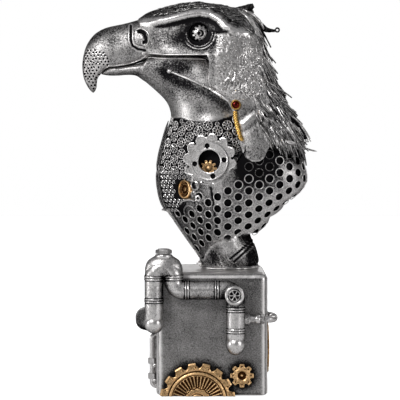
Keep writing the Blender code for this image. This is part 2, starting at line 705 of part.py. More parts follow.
plinth = combine(rounded_block(), [
    socket((-FACE, CORNER_SOCKET_Y, CORNER_RUN_HEIGHT), (1, 0, 0), PIPE_RADIUS),
    socket((DROP_X, -FACE, DROP_SOCKET_HEIGHT), (0, 1, 0), PIPE_RADIUS),
    socket((FACE, BRANCH_SOCKET_Y, BRANCH_HEIGHT), (-1, 0, 0), BRANCH_RADIUS),
    socket((-FACE, FEED_Y, FEED_TOP), (1, 0, 0), FEED_RADIUS),
    socket((-FACE, FEED_Y, FEED_BOTTOM), (1, 0, 0), FEED_RADIUS),
], "DIFFERENCE")
finish(plinth, "plinth", SILVER)


# The main pipe: from the socket in the left face, round the corner, up and over the top bend, across
# the front and down into the socket in the front face
PIPE_ROUTE = (
    bent_route([
        (-SOCKET_END, CORNER_SOCKET_Y, CORNER_RUN_HEIGHT),
        (-RUN, CORNER_SOCKET_Y, CORNER_RUN_HEIGHT),
        (-RUN, -FACE + PIPE_BEND * 0.6, CORNER_RUN_HEIGHT),
        (CORNER_LEG_X, -RUN, CORNER_RUN_HEIGHT),
        (CORNER_LEG_X, -RUN, TOP_BEND_HEIGHT),
    ], CORNER_BEND)
    + [Vector((ARCH_X - PIPE_BEND * math.cos(a), -RUN, TOP_BEND_HEIGHT + PIPE_BEND * math.sin(a)))
       for a in np.linspace(0, math.pi, 6)[1:-1]]
    + bent_route([
        (SECOND_LEG_X, -RUN, TOP_BEND_HEIGHT),
        (SECOND_LEG_X, -RUN, CROSS_RUN_HEIGHT),
        (DROP_X, -RUN, CROSS_RUN_HEIGHT),
        (DROP_X, -RUN, DROP_SOCKET_HEIGHT),
        (DROP_X, -SOCKET_END, DROP_SOCKET_HEIGHT),
    ], PIPE_BEND)
)
ARCH_TOP = TOP_BEND_HEIGHT + PIPE_BEND + PIPE_RADIUS
BOSS_CENTRE = (DROP_X + BOSS_OFFSET[0], -RUN, CROSS_RUN_HEIGHT + BOSS_OFFSET[1])
BOSS_FRONT_Y = -RUN - PIPE_RADIUS - BOSS_FRONT
STUB_END = DROP_X + PIPE_RADIUS + BAND_LENGTH / 2

pipe = combine(tube(PIPE_ROUTE, PIPE_RADIUS), [
    band((CORNER_LEG_X, -RUN, TOP_BEND_HEIGHT), (0, 0, 1)),
    band((CORNER_LEG_X, -RUN, TOP_BEND_HEIGHT - LOWER_BAND_DROP), (0, 0, 1)),
    band((SECOND_LEG_X, -RUN, TOP_BEND_HEIGHT), (0, 0, 1)),
    band((SECOND_LEG_X + PIPE_BEND + BAND_LENGTH * 1.1, -RUN, CROSS_RUN_HEIGHT), (1, 0, 0), length=WIDE_BAND),
    band((DROP_X - PIPE_BEND - BAND_LENGTH * 2.8, -RUN, CROSS_RUN_HEIGHT), (1, 0, 0), length=WIDE_BAND),
    band((DROP_X, -RUN, CROSS_RUN_HEIGHT - DROP_UPPER_BAND), (0, 0, 1)),
    band((DROP_X, -RUN, DROP_SOCKET_HEIGHT + DROP_LOWER_BAND), (0, 0, 1)),
    band((-RUN, -FACE + CORNER_FLANGE_BACK, CORNER_RUN_HEIGHT), (0, 1, 0), CORNER_FLANGE_RADIUS, sides=12),
    cylinder((ARCH_X, -RUN, TOP_BEND_HEIGHT + PIPE_BEND), (0, 0, 1), CAP_NECK_RADIUS,
             PIPE_RADIUS + SMALL_RUN_OUT, 12),
    cylinder((ARCH_X, -RUN, ARCH_TOP), (0, 0, 1), CAP_RADIUS, CAP_HEIGHT, 14),
    cylinder(BOSS_CENTRE, (0, -1, 0), BOSS_RADIUS, PIPE_RADIUS + BOSS_FRONT, 14),
    cylinder((DROP_X, -BRANCH_RUN, BRANCH_HEIGHT), (1, 0, 0), BRANCH_RADIUS, STUB_END - DROP_X, 10),
], "UNION")
pipe = combine(pipe, [
    cylinder((BOSS_CENTRE[0], BOSS_FRONT_Y - SMALL_RUN_OUT, BOSS_CENTRE[2]), (0, 1, 0), BOSS_RECESS_RADIUS,
             BOSS_RECESS_DEPTH + SMALL_RUN_OUT, 14),
], "DIFFERENCE")
finish(pipe, "steam_pipe", SILVER)

boss_plug_radius = BOSS_RECESS_RADIUS - FIT_GAP
boss_plug = cylinder((0, 0, 0), (0, 0, 1), boss_plug_radius, BOSS_RECESS_DEPTH - 2 * FIT_GAP, 14)
cross_arm = boss_plug_radius * 1.3
cross_width = boss_plug_radius * 0.16
cross_base = (BOSS_RECESS_DEPTH - 2 * FIT_GAP) * 0.5
boss_plug = combine(boss_plug, [
    block((-cross_arm / 2, -cross_width, cross_base), (cross_arm / 2, cross_width, BOSS_RECESS_DEPTH)),
    block((-cross_width, -cross_arm / 2, cross_base), (cross_width, cross_arm / 2, BOSS_RECESS_DEPTH)),
], "DIFFERENCE")
boss_plug.data.transform(along((0, -1, 0), (0, 0, 0)))
finish(boss_plug, "pipe_boss_screw", DARK_SILVER,
       (BOSS_CENTRE[0], BOSS_FRONT_Y + BOSS_RECESS_DEPTH - FIT_GAP, BOSS_CENTRE[2]))

plug_base = ARCH_TOP + CAP_HEIGHT + FIT_GAP
pipe_plug = combine(
    cylinder((ARCH_X, -RUN, plug_base), (0, 0, 1), PLUG_WIDTH / math.sqrt(3), PLUG_HEIGHT * 0.8, 6),
    [cylinder((ARCH_X, -RUN, plug_base + PLUG_HEIGHT * 0.4), (0, 0, 1), PLUG_WIDTH * 0.42,
              PLUG_HEIGHT * 0.6, 12)],
    "UNION")
finish(pipe_plug, "pipe_hex_plug", SILVER)


# The branch pipe: from the flange on the drop pipe, round the right corner and into the right face
branch_start = STUB_END + FIT_GAP
branch_y = -BRANCH_RUN
branch_route = bent_route([
    (branch_start, branch_y, BRANCH_HEIGHT),
    (BRANCH_RUN, branch_y, BRANCH_HEIGHT),
    (BRANCH_RUN, BRANCH_SOCKET_Y, BRANCH_HEIGHT),
    (SOCKET_END, BRANCH_SOCKET_Y, BRANCH_HEIGHT),
], BRANCH_BEND)
branch = combine(tube(branch_route, BRANCH_RADIUS, 2), [
    cylinder((branch_start, branch_y, BRANCH_HEIGHT), (1, 0, 0), BRANCH_FLANGE_RADIUS,
             BRANCH_FLANGE_LENGTH, 12),
    cylinder((branch_start + BRANCH_NUT_START, branch_y, BRANCH_HEIGHT), (1, 0, 0),
             BRANCH_NUT_WIDTH / math.sqrt(3), BRANCH_NUT_LENGTH, 6),
    band((FACE - BRANCH_COLLAR_INSETS[0], branch_y, BRANCH_HEIGHT), (1, 0, 0), BRANCH_COLLAR_RADIUS,
         BRANCH_COLLAR_LENGTH),
    band((BRANCH_RUN, -FACE + BRANCH_COLLAR_INSETS[1], BRANCH_HEIGHT), (0, 1, 0), BRANCH_COLLAR_RADIUS,
         BRANCH_COLLAR_LENGTH),
], "UNION")
finish(branch, "branch_pipe", SILVER)

# The feed pipe: a thin line up the left face
feed_route = bent_route([
    (-SOCKET_END, FEED_Y, FEED_TOP),
    (-FEED_RUN, FEED_Y, FEED_TOP),
    (-FEED_RUN, FEED_Y, FEED_BOTTOM),
    (-SOCKET_END, FEED_Y, FEED_BOTTOM),
], FEED_BEND, 3)
feed = combine(tube(feed_route, FEED_RADIUS, 2), [
    cylinder((-FEED_RUN, FEED_Y, height - FEED_NUT_LENGTH / 2), (0, 0, 1), FEED_NUT_WIDTH / math.sqrt(3),
             FEED_NUT_LENGTH, 6)
    for height in FEED_NUT_HEIGHTS
], "UNION")
finish(feed, "feed_pipe", SILVER)


# Gears on the plinth's faces
def on_front(made, centre):
    """Turns a flat piece to face -Y and puts it on the plinth's front face."""
    made.data.transform(Matrix.Rotation(math.pi / 2, 4, "X"))
    made.location = (centre[0], -FACE - FIT_GAP, centre[1])
    return made


large = notched_outline(LARGE_GEAR_TEETH, LARGE_GEAR_RADIUS, LARGE_GEAR_NOTCH_WIDTH, LARGE_GEAR_NOTCH_DEPTH,
                        math.radians(92.5))
large_dish = ring([
    (LARGE_GEAR_HUB_RADIUS, GEAR_THICKNESS * 0.5), (LARGE_GEAR_RADIUS * 0.70, GEAR_THICKNESS * 0.5),
    (LARGE_GEAR_RADIUS * 0.76, GEAR_THICKNESS * 1.2), (LARGE_GEAR_HUB_RADIUS * 0.94, GEAR_THICKNESS * 1.2),
], 28)
large_gear = combine(plate(large, GEAR_THICKNESS), [large_dish], "DIFFERENCE")
large_gear = combine(large_gear, [
    cylinder((0, 0, GEAR_THICKNESS / 2), (0, 0, 1), LARGE_GEAR_HUB_RADIUS * 0.8, GEAR_THICKNESS, 20),
], "UNION")
large_gear = combine(on_front(large_gear, LARGE_GEAR_CENTRE), [
    block((-2 * FACE, -2 * FACE, -FACE), (2 * FACE, 0, FIT_GAP)),
], "DIFFERENCE")
finish(large_gear, "large_gear", BRASS)

small = notched_outline(SMALL_GEAR_TEETH, SMALL_GEAR_RADIUS, SMALL_GEAR_RADIUS * 0.36,
                        SMALL_GEAR_RADIUS * 0.28, 0.0)
small_gear = combine(plate(small, GEAR_THICKNESS), [
    cylinder((0, 0, GEAR_THICKNESS / 2), (0, 0, 1), SMALL_GEAR_RADIUS * 0.62, GEAR_THICKNESS, 18),
], "UNION")
small_gear = combine(small_gear, [
    cylinder((0, 0, GEAR_THICKNESS * 0.7), (0, 0, 1), SMALL_GEAR_BOWL_RADIUS, GEAR_THICKNESS, 14),
], "DIFFERENCE")
small_gear = combine(small_gear, [
    cylinder((0, 0, GEAR_THICKNESS / 2), (0, 0, 1), SMALL_GEAR_BOWL_RADIUS * 0.45, GEAR_THICKNESS * 0.8, 10),
], "UNION")
finish(on_front(small_gear, SMALL_GEAR_CENTRE), "small_gear", BRASS)

side = notched_outline(SIDE_GEAR_TEETH, SIDE_GEAR_RADIUS, SIDE_GEAR_RADIUS * 0.2, SIDE_GEAR_RADIUS * 0.15,
                       0.0)
dish_radii = (SIDE_GEAR_RADIUS * 0.35, SIDE_GEAR_RADIUS * 0.68)
side_gear = combine(plate(side, GEAR_THICKNESS), [
    ring([(dish_radii[0], GEAR_THICKNESS * 0.5), (dish_radii[1], GEAR_THICKNESS * 0.5),
          (dish_radii[1], GEAR_THICKNESS * 1.2), (dish_radii[0], GEAR_THICKNESS * 1.2)], 18),
], "DIFFERENCE")
side_gear.data.transform(along((1, 0, 0), (0, 0, 0)))
finish(side_gear, "side_gear", BRASS, (FACE + FIT_GAP, 0, SIDE_GEAR_HEIGHT))

latch_x = FACE + FIT_GAP
latch = block((0, -SIDE_LATCH_SIZE[1] / 2, -SIDE_LATCH_SIZE[2] / 2),
              (SIDE_LATCH_SIZE[0], SIDE_LATCH_SIZE[1] / 2, SIDE_LATCH_SIZE[2] / 2))
latch = combine(latch, [
    block((SIDE_LATCH_SIZE[0] / 2, -SIDE_LATCH_SIZE[1], z - SIDE_LATCH_SLOT / 2),
          (2 * SIDE_LATCH_SIZE[0], SIDE_LATCH_SIZE[1], z + SIDE_LATCH_SLOT / 2))
    for z in (-SIDE_LATCH_SIZE[2] / 5, SIDE_LATCH_SIZE[2] / 5)
], "DIFFERENCE")
finish(latch, "vent_block", DARK_SILVER, (latch_x, 0, SIDE_LATCH_HEIGHT))


# The bust
SEAT = PLINTH_HEIGHT + FIT_GAP
bust = loft(THROAT_ROWS, 19, 9)
head = combine(loft(HEAD_ROWS, 23, 16, carve_head), [side_prism(HEAD_OUTLINE)], "INTERSECT")
mantle = combine(loft(MANTLE_ROWS, 9, 10), [side_prism(MANTLE_OUTLINE)], "INTERSECT")
foot_flange = cylinder((FOOT_CENTRE_X, 0, 0), (0, 0, 1), FOOT_RADIUS, FOOT_FLANGE_HEIGHT, 24)
foot_flange.data.transform(Matrix.Diagonal((1, FOOT_NARROWING, 1, 1)))
bust = combine(bust, [side_prism(outline, reach) for outline, reach in CHEST_PLATES], "UNION")
bust = combine(bust, [mantle, foot_flange], "UNION")
bust = combine(bust, [head], "UNION")
bust = combine(bust, [loft(BEAK_ROWS, 17, 7), loft(MANDIBLE_ROWS, 8, 5)], "UNION")
bust = combine(bust, [feather(*tip) for tip in FEATHER_TIPS], "UNION")
bust = thinned(bust, FACES_KEPT)
BARE = tree_of(bust)


def facing(side, yaw):
    """The outward direction of a fitting, turned toward the beak by the yaw."""
    return Vector((-math.sin(yaw), side * math.cos(yaw), 0))


def seat_of(centre, side, yaw, sink):
    """Where a fitting's underside sits, sunk below the surface along its own axis."""
    x, z = centre
    y = surface_y(BARE, x, z, side)
    return Vector((x * UNIT, y, z * UNIT)) - facing(side, yaw) * sink


cutters = []
for side in (-1, 1):
    eye_y = surface_y(BARE, *EYE_CENTRE, side) - side * (EYE_RADIUS - EYE_STAND_OUT)
    eye_place = (EYE_CENTRE[0] * UNIT, eye_y, EYE_CENTRE[1] * UNIT)
    cutters.append(ball(eye_place, EYE_RADIUS + FIT_GAP))
    port = facing(side, PORTHOLE_YAW)
    port_seat = seat_of(PORTHOLE_CENTRE, side, PORTHOLE_YAW, PORTHOLE_SINK)
    cutters.append(cylinder(port_seat, port, PLATE_TIP_RADIUS + FIT_GAP, CUT_RUN_OUT, 24))
    cutters.append(cylinder(port_seat - port * PORTHOLE_WELL_DEPTH, port, PORTHOLE_WELL_RADIUS, CUT_RUN_OUT,
                            16))
    gland_way = facing(side, GLAND_YAW)
    gland_seat = seat_of(GLAND_CENTRE, side, GLAND_YAW, GLAND_SINK)
    cutters.append(cylinder(gland_seat, gland_way, GLAND_RADIUS + FIT_GAP, CUT_RUN_OUT, 14))
bust = combine(bust, cutters, "DIFFERENCE")

BORED = tree_of(bust)
drills = []
for side in (-1, 1):
    for x, z in mantle_hole_centres():
        y = surface_y(BORED, x, z, side)
        floor = Vector((x * UNIT, y - side * HOLE_DEPTH, z * UNIT))
        drills.append(cylinder(floor, (0, side, 0), HOLE_RADIUS, HOLE_DEPTH + 2 * SMALL_RUN_OUT, HOLE_SIDES))
bust = combine(bust, drills, "DIFFERENCE")
finish(bust, "eagle_bust", SILVER, (0, 0, SEAT))


# Fittings on the bust, the same on both sides
def fitting(made, name, material, seat, direction):
    """Puts a piece that was built on the XY plane on its seat, a gap above the metal below."""
    lift = Vector(direction) * FIT_GAP
    made.data.transform(along(direction, (0, 0, 0)))
    return finish(made, name, material, Vector(seat) + lift + Vector((0, 0, SEAT)))


for side, which in ((-1, "left"), (1, "right")):
    eye_y = surface_y(BARE, *EYE_CENTRE, side) - side * (EYE_RADIUS - EYE_STAND_OUT)
    finish(ball((0, 0, 0), EYE_RADIUS), f"eye_{which}", SILVER,
           (EYE_CENTRE[0] * UNIT, eye_y, EYE_CENTRE[1] * UNIT + SEAT))

    port = facing(side, PORTHOLE_YAW)
    port_seat = seat_of(PORTHOLE_CENTRE, side, PORTHOLE_YAW, PORTHOLE_SINK)
    cog = scalloped_outline(PLATE_TEETH, PLATE_TIP_RADIUS - FIT_GAP, PLATE_ROOT_RADIUS,
                            -side * math.radians(6.5))
    cog_plate = combine(plate(cog, PLATE_THICKNESS), [
        cylinder((0, 0, -SMALL_RUN_OUT), (0, 0, 1), PORTHOLE_WELL_RADIUS, PLATE_THICKNESS + 2 * SMALL_RUN_OUT,
                 14),
    ], "DIFFERENCE")
    fitting(cog_plate, f"porthole_cog_{which}", SILVER, port_seat, port)
    bezel = ring([
        (PORTHOLE_WINDOW_RADIUS, 0), (PORTHOLE_RADIUS, 0), (PORTHOLE_RADIUS * 0.97, PORTHOLE_RING_HEIGHT),
        (PORTHOLE_WINDOW_RADIUS * 1.05, PORTHOLE_RING_HEIGHT),
    ], 16)
    fitting(bezel, f"porthole_ring_{which}", SILVER, port_seat + port * (PLATE_THICKNESS + FIT_GAP), port)
    wheel = plate([(x + WINDOW_GEAR_OFFSET[0], -side * (y + WINDOW_GEAR_OFFSET[1]))
                   for x, y in scalloped_outline(WINDOW_GEAR_TEETH, WINDOW_GEAR_RADIUS,
                                                 WINDOW_GEAR_RADIUS * 0.76, 0.1)], WINDOW_GEAR_THICKNESS)
    fitting(wheel, f"porthole_gear_{which}", BRASS, port_seat - port * PORTHOLE_WELL_DEPTH, port)

    gland_way = facing(side, GLAND_YAW)
    gland_seat = seat_of(GLAND_CENTRE, side, GLAND_YAW, GLAND_SINK)
    gland = turned([
        (0, GLAND_HEIGHT * 0.25), (GLAND_BORE_RADIUS * 0.9, GLAND_HEIGHT * 0.25),
        (GLAND_BORE_RADIUS, GLAND_HEIGHT), (GLAND_RADIUS, GLAND_HEIGHT * 0.8), (GLAND_RADIUS, 0), (0, 0),
    ], 14)
    fitting(gland, f"breast_gland_{which}", BRASS, gland_seat, gland_way)

CARVED = tree_of(bpy.data.objects["eagle_bust"])


def carved_y(x, z, side):
    """The finished bust's surface at a side-view point."""
    start = Vector((x * UNIT, side * 90 * UNIT, z * UNIT))
    return CARVED.ray_cast(start, Vector((0, -side, 0)))[0].y


def over_surface(path, side, clearance):
    """A path in side view laid over the bust's surface, smooth and clear of it by the clearance."""
    rows = smooth_rows(path, 2 * len(path))
    depths = [abs(carved_y(x, z, side)) for x, z in rows]
    clear = [max(depths[max(0, i - 1):i + 2]) + clearance for i in range(len(rows))]
    return [Vector((x * UNIT, side * y, z * UNIT + SEAT)) for (x, z), y in zip(rows, clear)]


for side, which in ((-1, "left"), (1, "right")):
    outward = Vector((0, side, 0))
    rod_route = over_surface(ROD_PATH, side, ROD_RADIUS + 3 * FIT_GAP)
    rod_head = rod_route[0] + outward * (ROD_BALL_RADIUS - ROD_RADIUS)
    rod = combine(tube(rod_route, ROD_RADIUS, 1), [ball(rod_head, ROD_BALL_RADIUS, 8, 6)], "UNION")
    finish(rod, f"cheek_rod_{which}", SILVER)
    x, z = PIVOT_CENTRE
    rim = [carved_y(x + PIVOT_RADIUS / UNIT * math.cos(a), z + PIVOT_RADIUS / UNIT * math.sin(a), side)
           for a in np.linspace(0, math.tau, 9)]
    pivot_y = side * (max(abs(value) for value in rim) + FIT_GAP)
    pivot = turned([
        (0, PIVOT_HEIGHT * 0.75), (PIVOT_RADIUS * 0.5, PIVOT_HEIGHT * 0.75),
        (PIVOT_RADIUS * 0.55, PIVOT_HEIGHT), (PIVOT_RADIUS, PIVOT_HEIGHT * 0.8), (PIVOT_RADIUS, 0), (0, 0),
    ], 12)
    pivot.data.transform(along(outward, (0, 0, 0)))
    finish(pivot, f"hose_pivot_{which}", BRASS, (x * UNIT, pivot_y, z * UNIT + SEAT))
    hose = tube(over_surface(HOSE_PATH, side, HOSE_RADIUS + 2 * FIT_GAP), HOSE_RADIUS, 2)
    finish(hose, f"brass_hose_{which}", BRASS)
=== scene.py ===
"""Looks of the cast eagle bust with machine fittings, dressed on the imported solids.

Metres, +Z up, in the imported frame: the origin is under the plinth's middle, the beak points to -X and
the bust's left side faces -Y. Every surface sits on or inside the solid that it dresses.
"""
import math

import bmesh
import bpy
import numpy as np
from mathutils import Matrix, Vector
from mathutils.bvhtree import BVHTree


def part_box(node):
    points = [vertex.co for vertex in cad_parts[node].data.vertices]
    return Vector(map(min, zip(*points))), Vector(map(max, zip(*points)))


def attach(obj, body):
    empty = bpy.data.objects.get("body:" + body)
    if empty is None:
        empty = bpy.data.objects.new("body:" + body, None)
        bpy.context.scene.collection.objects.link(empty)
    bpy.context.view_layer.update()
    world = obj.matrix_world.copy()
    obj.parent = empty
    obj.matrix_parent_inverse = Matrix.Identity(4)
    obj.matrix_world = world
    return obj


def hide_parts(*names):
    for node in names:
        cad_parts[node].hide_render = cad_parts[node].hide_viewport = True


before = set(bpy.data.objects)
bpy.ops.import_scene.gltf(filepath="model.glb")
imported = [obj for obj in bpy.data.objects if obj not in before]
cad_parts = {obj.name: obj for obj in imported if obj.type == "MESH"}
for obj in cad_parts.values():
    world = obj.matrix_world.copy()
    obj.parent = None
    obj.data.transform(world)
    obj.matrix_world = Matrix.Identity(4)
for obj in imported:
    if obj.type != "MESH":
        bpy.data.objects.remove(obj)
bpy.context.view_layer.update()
SIDES = ((-1, "left"), (1, "right"))


# The studio: a pale table in a bright room, a large soft light over the left shoulder, a weaker one
# from the right and a strip behind, and a camera level with the breast that looks slightly down.
FLOOR_SIZE = 6.0
FLOOR_DROP = 0.0004
CAMERA_PLACE = (-0.0097, -1.150, 0.1966)
CAMERA_TILT = math.radians(88)
CAMERA_LENS = 124.4
ROOM_WHITE = 1.0
BACKDROP = 2.4
BACKDROP_EDGE = 4.0
TABLE_GLOW = 0.85
ROOM_LIGHT = ((0.0, (0.03, 0.03, 0.03, 1)), (0.42, (0.05, 0.05, 0.05, 1)), (0.56, (0.10, 0.10, 0.10, 1)),
              (1.0, (0.36, 0.36, 0.37, 1)))
TABLE_WHITE = 0.90
TABLE_ROUGHNESS = 0.6
STUDIO_LIGHTS = (
    ("key", (-0.70, -1.10, 0.95), 0.50, 10.0),
    ("fill", (1.05, -0.90, 0.35), 0.35, 2.6),
    ("rim", (0.75, 0.60, 0.80), 0.50, 1.6),
    ("front", (-1.20, -0.35, 0.20), 0.40, 2.2),
)
LIGHT_TARGET = (0.0, 0.0, 0.18)


class Field:
    """A shader socket. Operators on it add Math nodes, and node() adds any other kind of node."""

    def __init__(self, tree, socket=None):
        self.tree = tree
        self.socket = socket

    def node(self, kind, inputs=None, output=0, **settings):
        made = self.tree.nodes.new(kind)
        for name, value in settings.items():
            if name == "stops":
                for stop, (place, colour) in zip(made.color_ramp.elements, value):
                    stop.position = place
                    stop.color = colour
                for place, colour in value[2:]:
                    made.color_ramp.elements.new(place).color = colour
            else:
                setattr(made, name, value)
        for key, value in (inputs or {}).items():
            if isinstance(value, Field):
                self.tree.links.new(value.socket, made.inputs[key])
            else:
                made.inputs[key].default_value = value
        return Field(self.tree, made.outputs[output])

    def maths(self, operation, first, second, clamp=False):
        return self.node("ShaderNodeMath", {0: first, 1: second}, operation=operation, use_clamp=clamp)

    def __add__(self, other):
        return self.maths("ADD", self, other)

    __radd__ = __add__

    def __mul__(self, other):
        return self.maths("MULTIPLY", self, other)

    __rmul__ = __mul__

    def __sub__(self, other):
        return self.maths("SUBTRACT", self, other)

    def __rsub__(self, other):
        return self.maths("SUBTRACT", other, self)

    def clamped(self):
        return self.maths("ADD", self, 0.0, clamp=True)

    def mixed(self, low, high):
        """The colour low where this value is 0, and high where it is 1."""
        return self.node("ShaderNodeMix", {0: self, 6: low, 7: high}, 2, data_type="RGBA")


def new_material(name):
    """A new material, its node tree and its shader."""
    material = bpy.data.materials.new(name)
    material.use_nodes = True
    return material, material.node_tree, material.node_tree.nodes["Principled BSDF"]


def grey(value):
    return value, value, value, 1


bpy.ops.mesh.primitive_plane_add(size=FLOOR_SIZE, location=(0, 0, -FLOOR_DROP))
floor = bpy.context.object
floor.name = "table"
table, tree, shader = new_material("pale_table")
shader.inputs["Base Color"].default_value = grey(TABLE_WHITE)
shader.inputs["Roughness"].default_value = TABLE_ROUGHNESS
shader.inputs["Emission Strength"].default_value = 1.0
seen = Field(tree).node("ShaderNodeLightPath", output="Is Camera Ray")
tree.links.new(seen.mixed(grey(0), grey(TABLE_GLOW)).socket, shader.inputs["Emission Color"])
floor.data.materials.append(table)

camera = bpy.data.objects.new("camera", bpy.data.cameras.new("camera"))
bpy.context.scene.collection.objects.link(camera)
camera.location = CAMERA_PLACE
camera.rotation_euler = (CAMERA_TILT, 0, 0)
camera.data.lens = CAMERA_LENS
camera.data.clip_start = 0.01
bpy.context.scene.camera = camera
bpy.context.scene.view_settings.view_transform = "Standard"

for name, place, size, power in STUDIO_LIGHTS:
    lamp = bpy.data.lights.new(name, "AREA")
    lamp.shape = "DISK"
    lamp.size = size
    lamp.energy = power
    light = bpy.data.objects.new(name, lamp)
    bpy.context.scene.collection.objects.link(light)
    light.location = place
    light.rotation_euler = (Vector(LIGHT_TARGET) - Vector(place)).to_track_quat("-Z", "Y").to_euler()

world = bpy.data.worlds.new("bright_room")
world.use_nodes = True
bpy.context.scene.world = world
room = Field(world.node_tree)
way = room.node("ShaderNodeTexCoord", output="Generated")
height = room.node("ShaderNodeSeparateXYZ", {0: way}, "Z")
behind = (room.node("ShaderNodeSeparateXYZ", {0: way}, "Y") * BACKDROP_EDGE - BACKDROP_EDGE * 0.7).clamped()
behind = behind * (height * 14.0 - 0.3).clamped() * (3.0 - height * 12.0).clamped()
glow = room.node("ShaderNodeValToRGB", {0: height * 0.5 + 0.5}, stops=ROOM_LIGHT)
seen = room.node("ShaderNodeLightPath", output="Is Camera Ray")
glow = seen.mixed(behind.mixed(glow, grey(BACKDROP)), grey(ROOM_WHITE))
world.node_tree.links.new(glow.socket, world.node_tree.nodes["Background"].inputs["Color"])


# The plinth: a cast square block with rounded upright edges, its metal skin lighter along each rounded
# edge and darker where each edge begins, and lightly hammered on its faces. Its top carries a painted
# highlight, and painted shadow lies round the gears and beside the drop pipe. It stands on its own flat
# underside.
plinth_low, plinth_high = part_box("plinth")
PLINTH_EDGE = 0.0062
PLINTH_FOOT_EDGE = 0.0024
PLINTH_CELL = 0.0016
HAMMER_DEPTH = 0.00022


def grain(u, v, seed):
    """Smooth random heights from -1 to 1, with a new one at each whole step of u and v."""
    table = np.random.default_rng(seed).uniform(-1, 1, (256, 256))
    iu = np.floor(u).astype(int)
    iv = np.floor(v).astype(int)
    fu = u - iu
    fv = v - iv
    fu = fu * fu * (3 - 2 * fu)
    fv = fv * fv * (3 - 2 * fv)
    near = table[iu % 256, iv % 256] * (1 - fu) + table[(iu + 1) % 256, iv % 256] * fu
    far = table[iu % 256, (iv + 1) % 256] * (1 - fu) + table[(iu + 1) % 256, (iv + 1) % 256] * fu
    return near * (1 - fv) + far * fv


def lumps(place, size, seed):
    """Smooth random heights over points in space, from three crossed sheets of grain."""
    x, y, z = (place / size).T
    return (grain(x, y, seed) + grain(y + 31, z, seed + 1) + grain(z + 57, x, seed + 2)) / 1.7


def step(value, low, high):
    """0 below low, 1 above high, and smooth between them."""
    share = np.clip((value - low) / (high - low), 0, 1)
    return share * share * (3 - 2 * share)


def bump(distance, width):
    """1 at no distance, falling away softly over the width."""
    return np.exp(-(distance / width) ** 2)


def spot(x, z, middle_x, middle_z, wide, tall):
    """A soft spot in side view, 1 in its middle."""
    return bump(np.hypot((x - middle_x) / wide, (z - middle_z) / tall), 1.0)


def new_object(name, mesh):
    made = bpy.data.objects.new(name, mesh)
    bpy.context.scene.collection.objects.link(made)
    return made


def read_points(mesh):
    place = np.empty(len(mesh.vertices) * 3, np.float32)
    mesh.vertices.foreach_get("co", place)
    return place.reshape(-1, 3).astype(float)


def read_normals(mesh):
    normal = np.empty(len(mesh.vertices) * 3, np.float32)
    mesh.vertices.foreach_get("normal", normal)
    return normal.reshape(-1, 3).astype(float)


def write_points(mesh, place):
    mesh.vertices.foreach_set("co", place.astype(np.float32).ravel())
    mesh.update()


def store(mesh, name, values):
    """Keeps one number for each vertex, for the materials to read."""
    layer = mesh.attributes.get(name) or mesh.attributes.new(name, "FLOAT", "POINT")
    layer.data.foreach_set("value", np.asarray(values, np.float32))


def smoothed(mesh, values, rounds):
    """Each vertex's values averaged with its neighbours' over and over."""
    edges = np.empty(len(mesh.edges) * 2, np.int32)
    mesh.edges.foreach_get("vertices", edges)
    a, b = edges.reshape(-1, 2).T
    count = len(mesh.vertices)
    share = np.bincount(a, minlength=count) + np.bincount(b, minlength=count) + 1.0
    for _ in range(rounds):
        values = np.stack([
            (one + np.bincount(a, one[b], count) + np.bincount(b, one[a], count)) / share for one in values.T
        ], axis=1)
    return values


def mark_wear(made, reach=6, depth=0.00025):
    """Stores where the casting stands proud and is rubbed bright, 1, or lies low and dark, 0."""
    place = read_points(made.data)
    proud = np.einsum("ij,ij->i", place - smoothed(made.data, place, reach), read_normals(made.data))
    store(made.data, "wear", np.clip(0.5 + proud / (2 * depth), 0, 1))


def cast_metal(name, dark, bright, roughness, wear=1.0, mottle=0.35, scale=700.0, pits=0.25, edge=0.30):
    """Cast metal, black in its hollows and rubbed bright on what stands proud, with a sandy grain. On some
    pieces its stored wear and tone also carry painted light and shade.
    """
    material, tree, shader = new_material(name)
    metal = Field(tree)
    where = metal.node("ShaderNodeTexCoord", output="Object")
    rubbed = metal.node("ShaderNodeAttribute", output="Fac", attribute_name="wear")
    tone = metal.node("ShaderNodeAttribute", output="Fac", attribute_name="tone")
    sand = metal.node("ShaderNodeTexNoise", {"Vector": where, "Scale": scale, "Detail": 3.0, "Roughness": 0.65})
    cloud = metal.node("ShaderNodeTexNoise", {"Vector": where, "Scale": scale * 0.13, "Detail": 3.0})
    speck = metal.node("ShaderNodeTexNoise", {"Vector": where, "Scale": scale * 1.5, "Detail": 1.0})
    grain_sum = (sand - 0.5) * mottle * 2.4 + (cloud - 0.5) * mottle * 1.2
    polish = tone + (rubbed - 0.5) * wear + grain_sum
    polish = polish - metal.maths("GREATER_THAN", speck, 0.60) * pits
    polish = (polish + metal.maths("LESS_THAN", speck, 0.40) * pits * 0.6).clamped()
    shade = polish * polish * (3.0 - 2.0 * polish) * 0.5 + polish * 0.5
    tree.links.new(shade.mixed((*dark, 1), (*bright, 1)).socket, shader.inputs["Base Color"])
    tree.links.new((roughness + 0.25 - polish * 0.25 + (sand - 0.5) * 0.25).socket, shader.inputs["Roughness"])
    shader.inputs["Metallic"].default_value = 1.0
    shader.inputs["Specular Tint"].default_value = grey(edge)
    relief = metal.node("ShaderNodeBump", {"Strength": SAND_RELIEF, "Distance": 0.0003, "Height": sand})
    tree.links.new(relief.socket, shader.inputs["Normal"])
    return material


